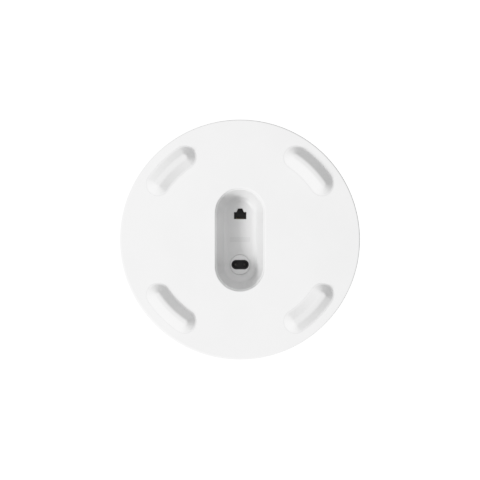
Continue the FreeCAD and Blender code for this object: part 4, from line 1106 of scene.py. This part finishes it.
metal("screw_steel", (0.62, 0.61, 0.59), 0.32, 1400.0, 0.3)
metal("shield_steel", (0.7, 0.7, 0.69), 0.28, 800.0)
# contact_gold is a gold made darker to stand for the shade deep inside the socket: painted shade.
metal("contact_gold", (0.62, 0.47, 0.24), 0.3, 2200.0)
# pin_nickel is painted near black: the pins carry the shade and dark reflection of the cavity round
# them, not the own colour of nickel.
metal("pin_nickel", (0.09, 0.087, 0.08), 0.35, 1800.0, 0.2)
metal("sink_aluminium", (0.75, 0.76, 0.77), 0.38, 700.0)
metal("antenna_metal", (0.72, 0.7, 0.64), 0.3, 900.0)
print("metals bring it to", len(finishes))

# %% [markdown]
# ## The frosted window
#
# The light window is clear plastic with a matt inner face. Its transmission is a plain number
# on the shader. Only the roughness and the fine bump change over the surface.

# %% Finish for the light window
tree = start_finish("lens_clear")
skin = use(tree, grain, Grain_Scale=2600.0)
frosted = mix_colours(tree, skin["Mottle"], rgba((0.86, 0.87, 0.88)), rgba(0.9))
complete(tree, frosted, uneven(tree, skin["Mottle"], 0.3), skin["Height"], strength=0.3,
         depth=0.00001, Transmission_Weight=0.6, IOR=1.49)

# %% [markdown]
# ## Giving out the finishes
#
# New pieces take the finish that they asked for. Every part of the frame that stays takes the
# finish named by its own material slot, so that no plain colour is left anywhere.

# %% Put a finish on every piece
for piece, finish_name in wanted_finish.items():
    piece.data.materials.append(finishes[finish_name])
for name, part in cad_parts.items():
    for material_slot in part.material_slots:
        material_slot.material = finishes[material_slot.material.name.split(".")[0]]
print(len(finishes), "finishes on", len(wanted_finish), "new pieces and", len(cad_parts), "parts")

# %% [markdown]
# ## The studio
#
# This product is shown from straight below, against plain white. The floor that it stands on
# would hide it, so the floor's shader lets rays through from its back. Seen from above it is an
# ordinary pale floor.
#
# The sky is white to the camera and a soft even light to everything else, which Light Path
# tells apart.

# %% Lay the floor and light the sky
FLOOR_HALF = 4.0
FLOOR_WHITE = (0.86, 0.86, 0.86, 1.0)
SKY_TO_CAMERA = 2.0
SKY_TO_OBJECT = 0.55


def one_sided(name, shader, **settings):
    """A shader that shows from the front only. From behind it lets everything through."""
    material = bpy.data.materials.new(name)
    material.use_nodes = True
    tree = material.node_tree
    tree.nodes.clear()
    front = add(tree, shader, **settings)
    nothing = add(tree, "BsdfTransparent")
    either = add(tree, "MixShader", Fac=add(tree, "NewGeometry").outputs["Backfacing"])
    tree.links.new(front.outputs[0], either.inputs[1])
    tree.links.new(nothing.outputs["BSDF"], either.inputs[2])
    add(tree, "OutputMaterial", Surface=either.outputs["Shader"])
    return material


def hide_from(thing, *rays):
    """Takes an object out of some kinds of rays."""
    for ray in rays:
        setattr(thing, "visible_" + ray, False)


floor_mesh = bmesh.new()
bmesh.ops.create_grid(floor_mesh, x_segments=1, y_segments=1, size=FLOOR_HALF)
floor_data = bpy.data.meshes.new("floor")
floor_mesh.to_mesh(floor_data)
floor_mesh.free()
floor_data.materials.append(one_sided("pale floor", "BsdfDiffuse", Color=FLOOR_WHITE))
floor = bpy.data.objects.new("floor", floor_data)
bpy.context.scene.collection.objects.link(floor)
floor.location.z = cad_low.z
hide_from(floor, "diffuse", "glossy", "transmission", "shadow")
print("floor", 2 * FLOOR_HALF, "m wide, at", round(cad_low.z / MM, 2), "mm")

world = bpy.data.worlds.new("plain studio")
bpy.context.scene.world = world
world.use_nodes = True
tree = world.node_tree
tree.nodes.clear()
seen = add(tree, "LightPath").outputs["Is Camera Ray"]
strength = remap(tree, seen, 0.0, 1.0, SKY_TO_OBJECT, SKY_TO_CAMERA)
sky = add(tree, "Background", Color=(1.0, 1.0, 1.0, 1.0), Strength=strength)
add(tree, "OutputWorld", Surface=sky.outputs["Background"])

# %% [markdown]
# One round softbox stands low and to one side. It is what models the feet: flanks that face it
# turn bright, flanks that face away go grey, and the well's near wall throws a soft shadow over
# the floor of the well. A weak lamp close to the base, towards the rear, keeps that shadow from
# closing up. A broad lamp high above serves the views from above, and is far enough away to
# light the floor evenly.

# %% Set up the lamps


def softbox(name, direction, distance, diameter, power):
    """A round lamp that faces the product."""
    data = bpy.data.lights.new(name, "AREA")
    data.shape = "DISK"
    data.size = diameter
    data.energy = power
    lamp = bpy.data.objects.new(name, data)
    towards = Vector(direction).normalized()
    lamp.location = towards * distance
    lamp.rotation_mode = "QUATERNION"
    lamp.rotation_quaternion = towards.to_track_quat("Z", "Y")
    lamp.visible_camera = False
    bpy.context.scene.collection.objects.link(lamp)


KEY_RISE = 37.0
KEY_TURN = 43.0
key_level, key_up = polar(1.0, KEY_RISE)
key_x, key_y = polar(key_level, KEY_TURN)
softbox("key softbox", (key_x, -key_y, -key_up), distance=3.0, diameter=0.80, power=69.0)
softbox("near fill", (0.25, 0.50, -0.77), distance=0.75, diameter=0.5, power=0.75)
softbox("overhead softbox", (-0.35, -0.45, 0.82), distance=10.0, diameter=6.4, power=560.0)
print("lamps:", [lamp.name for lamp in bpy.data.lights])

# %% [markdown]
# The lamps for the underside stand below the floor, so their light may come up only where the
# product stands. Without a screen round that place they would also light the side walls from
# below, which no floor would allow. Nothing sees the screen but a lamp's own shadow test, and
# its hole is just wide enough for the slanting light to reach the base's edge.
#
# That light also bounces off the base, and the floor round the product would glow where a
# contact shadow belongs. A shallow pan that glows dimly paints that contact shadow: the floor sees
# the pan's dim outside in place of the bright base, and the product looks straight through its inside.

# %% Hang a screen round the footprint, and a pan inside it that paints the contact shadow
# How bright the pan glows to the floor, which sets the tone of the painted contact shadow.
SHADOW_PAN_GLOW = 0.35
SCREEN_MARGIN = 2.0
SCREEN_DROP = 0.2
PAN_INSET = 0.5
PAN_LIFT = 0.05
floor_level = cad_low.z / MM
screen_hole = BODY_R + BASE_Z / math.tan(math.radians(KEY_RISE)) + SCREEN_MARGIN
screen_level = floor_level - SCREEN_DROP
screen_skin = Skin()
screen_skin.sweep(disc(), [(screen_hole, screen_level), (FLOOR_HALF / MM, screen_level)])
screen = screen_skin.finish("light_screen")
hide_from(screen, "camera", "diffuse", "glossy", "transmission")
pan_r = BODY_R - PAN_INSET
shadow_pan_skin = Skin()
pan_section = [(pan_r, floor_level + PAN_LIFT), (pan_r, BASE_Z - PAN_LIFT)]
shadow_pan_skin.cap(shadow_pan_skin.sweep(disc(), pan_section)[0])
shadow_pan = shadow_pan_skin.finish("painted_contact_shadow")
hide_from(shadow_pan, "camera", "glossy", "transmission", "shadow")
# The pan is no lamp: its dim glow paints the floor's contact shadow.
shadow_pan.data.materials.append(one_sided("painted shadow card", "Emission", Strength=SHADOW_PAN_GLOW))

# %% [markdown]
# ## The camera
#
# The camera looks straight up at the base from about a metre away, through a mild telephoto
# lens, so that the walls of the well hardly show. Turned half way round its upright axis, it
# has the rear of the product at the top of the picture.

# %% Place the camera
LENS_LENGTH = 85.0
CAMERA_DISTANCE = 1.035
CAMERA_AIM = Vector((0.0001, -0.00045))
camera_data = bpy.data.cameras.new("camera")
camera_data.lens = LENS_LENGTH
camera = bpy.data.objects.new("camera", camera_data)
camera.location = (CAMERA_AIM.x, CAMERA_AIM.y, BASE_Z * MM - CAMERA_DISTANCE)
camera.rotation_euler = (0.0, math.pi, 0.0)
bpy.context.scene.collection.objects.link(camera)
bpy.context.scene.camera = camera
print("camera", CAMERA_DISTANCE, "m below the base, with a lens of", LENS_LENGTH, "mm")

# %% [markdown]
# A white product on white needs a soft shoulder: without it, every surface that faces the
# lamp clips to the same white. A curve keeps tones up to light grey as they are and lets the
# brightest ones lean over gently, as film does.

# %% Give the picture a soft shoulder
WHITE_LEVEL = 1.6
SHOULDER = [(0.4, 0.4), (0.8, 0.8), (0.95, 0.89), (1.15, 0.94), (1.35, 0.975)]
display = bpy.context.scene.view_settings
display.view_transform = "Standard"
display.use_curve_mapping = True
display.curve_mapping.white_level = (WHITE_LEVEL,) * 3
tone_curve = display.curve_mapping.curves[3]
for bright, shown in SHOULDER:
    tone_curve.points.new(bright / WHITE_LEVEL, shown)
display.curve_mapping.update()
print("tone curve points:", len(tone_curve.points))
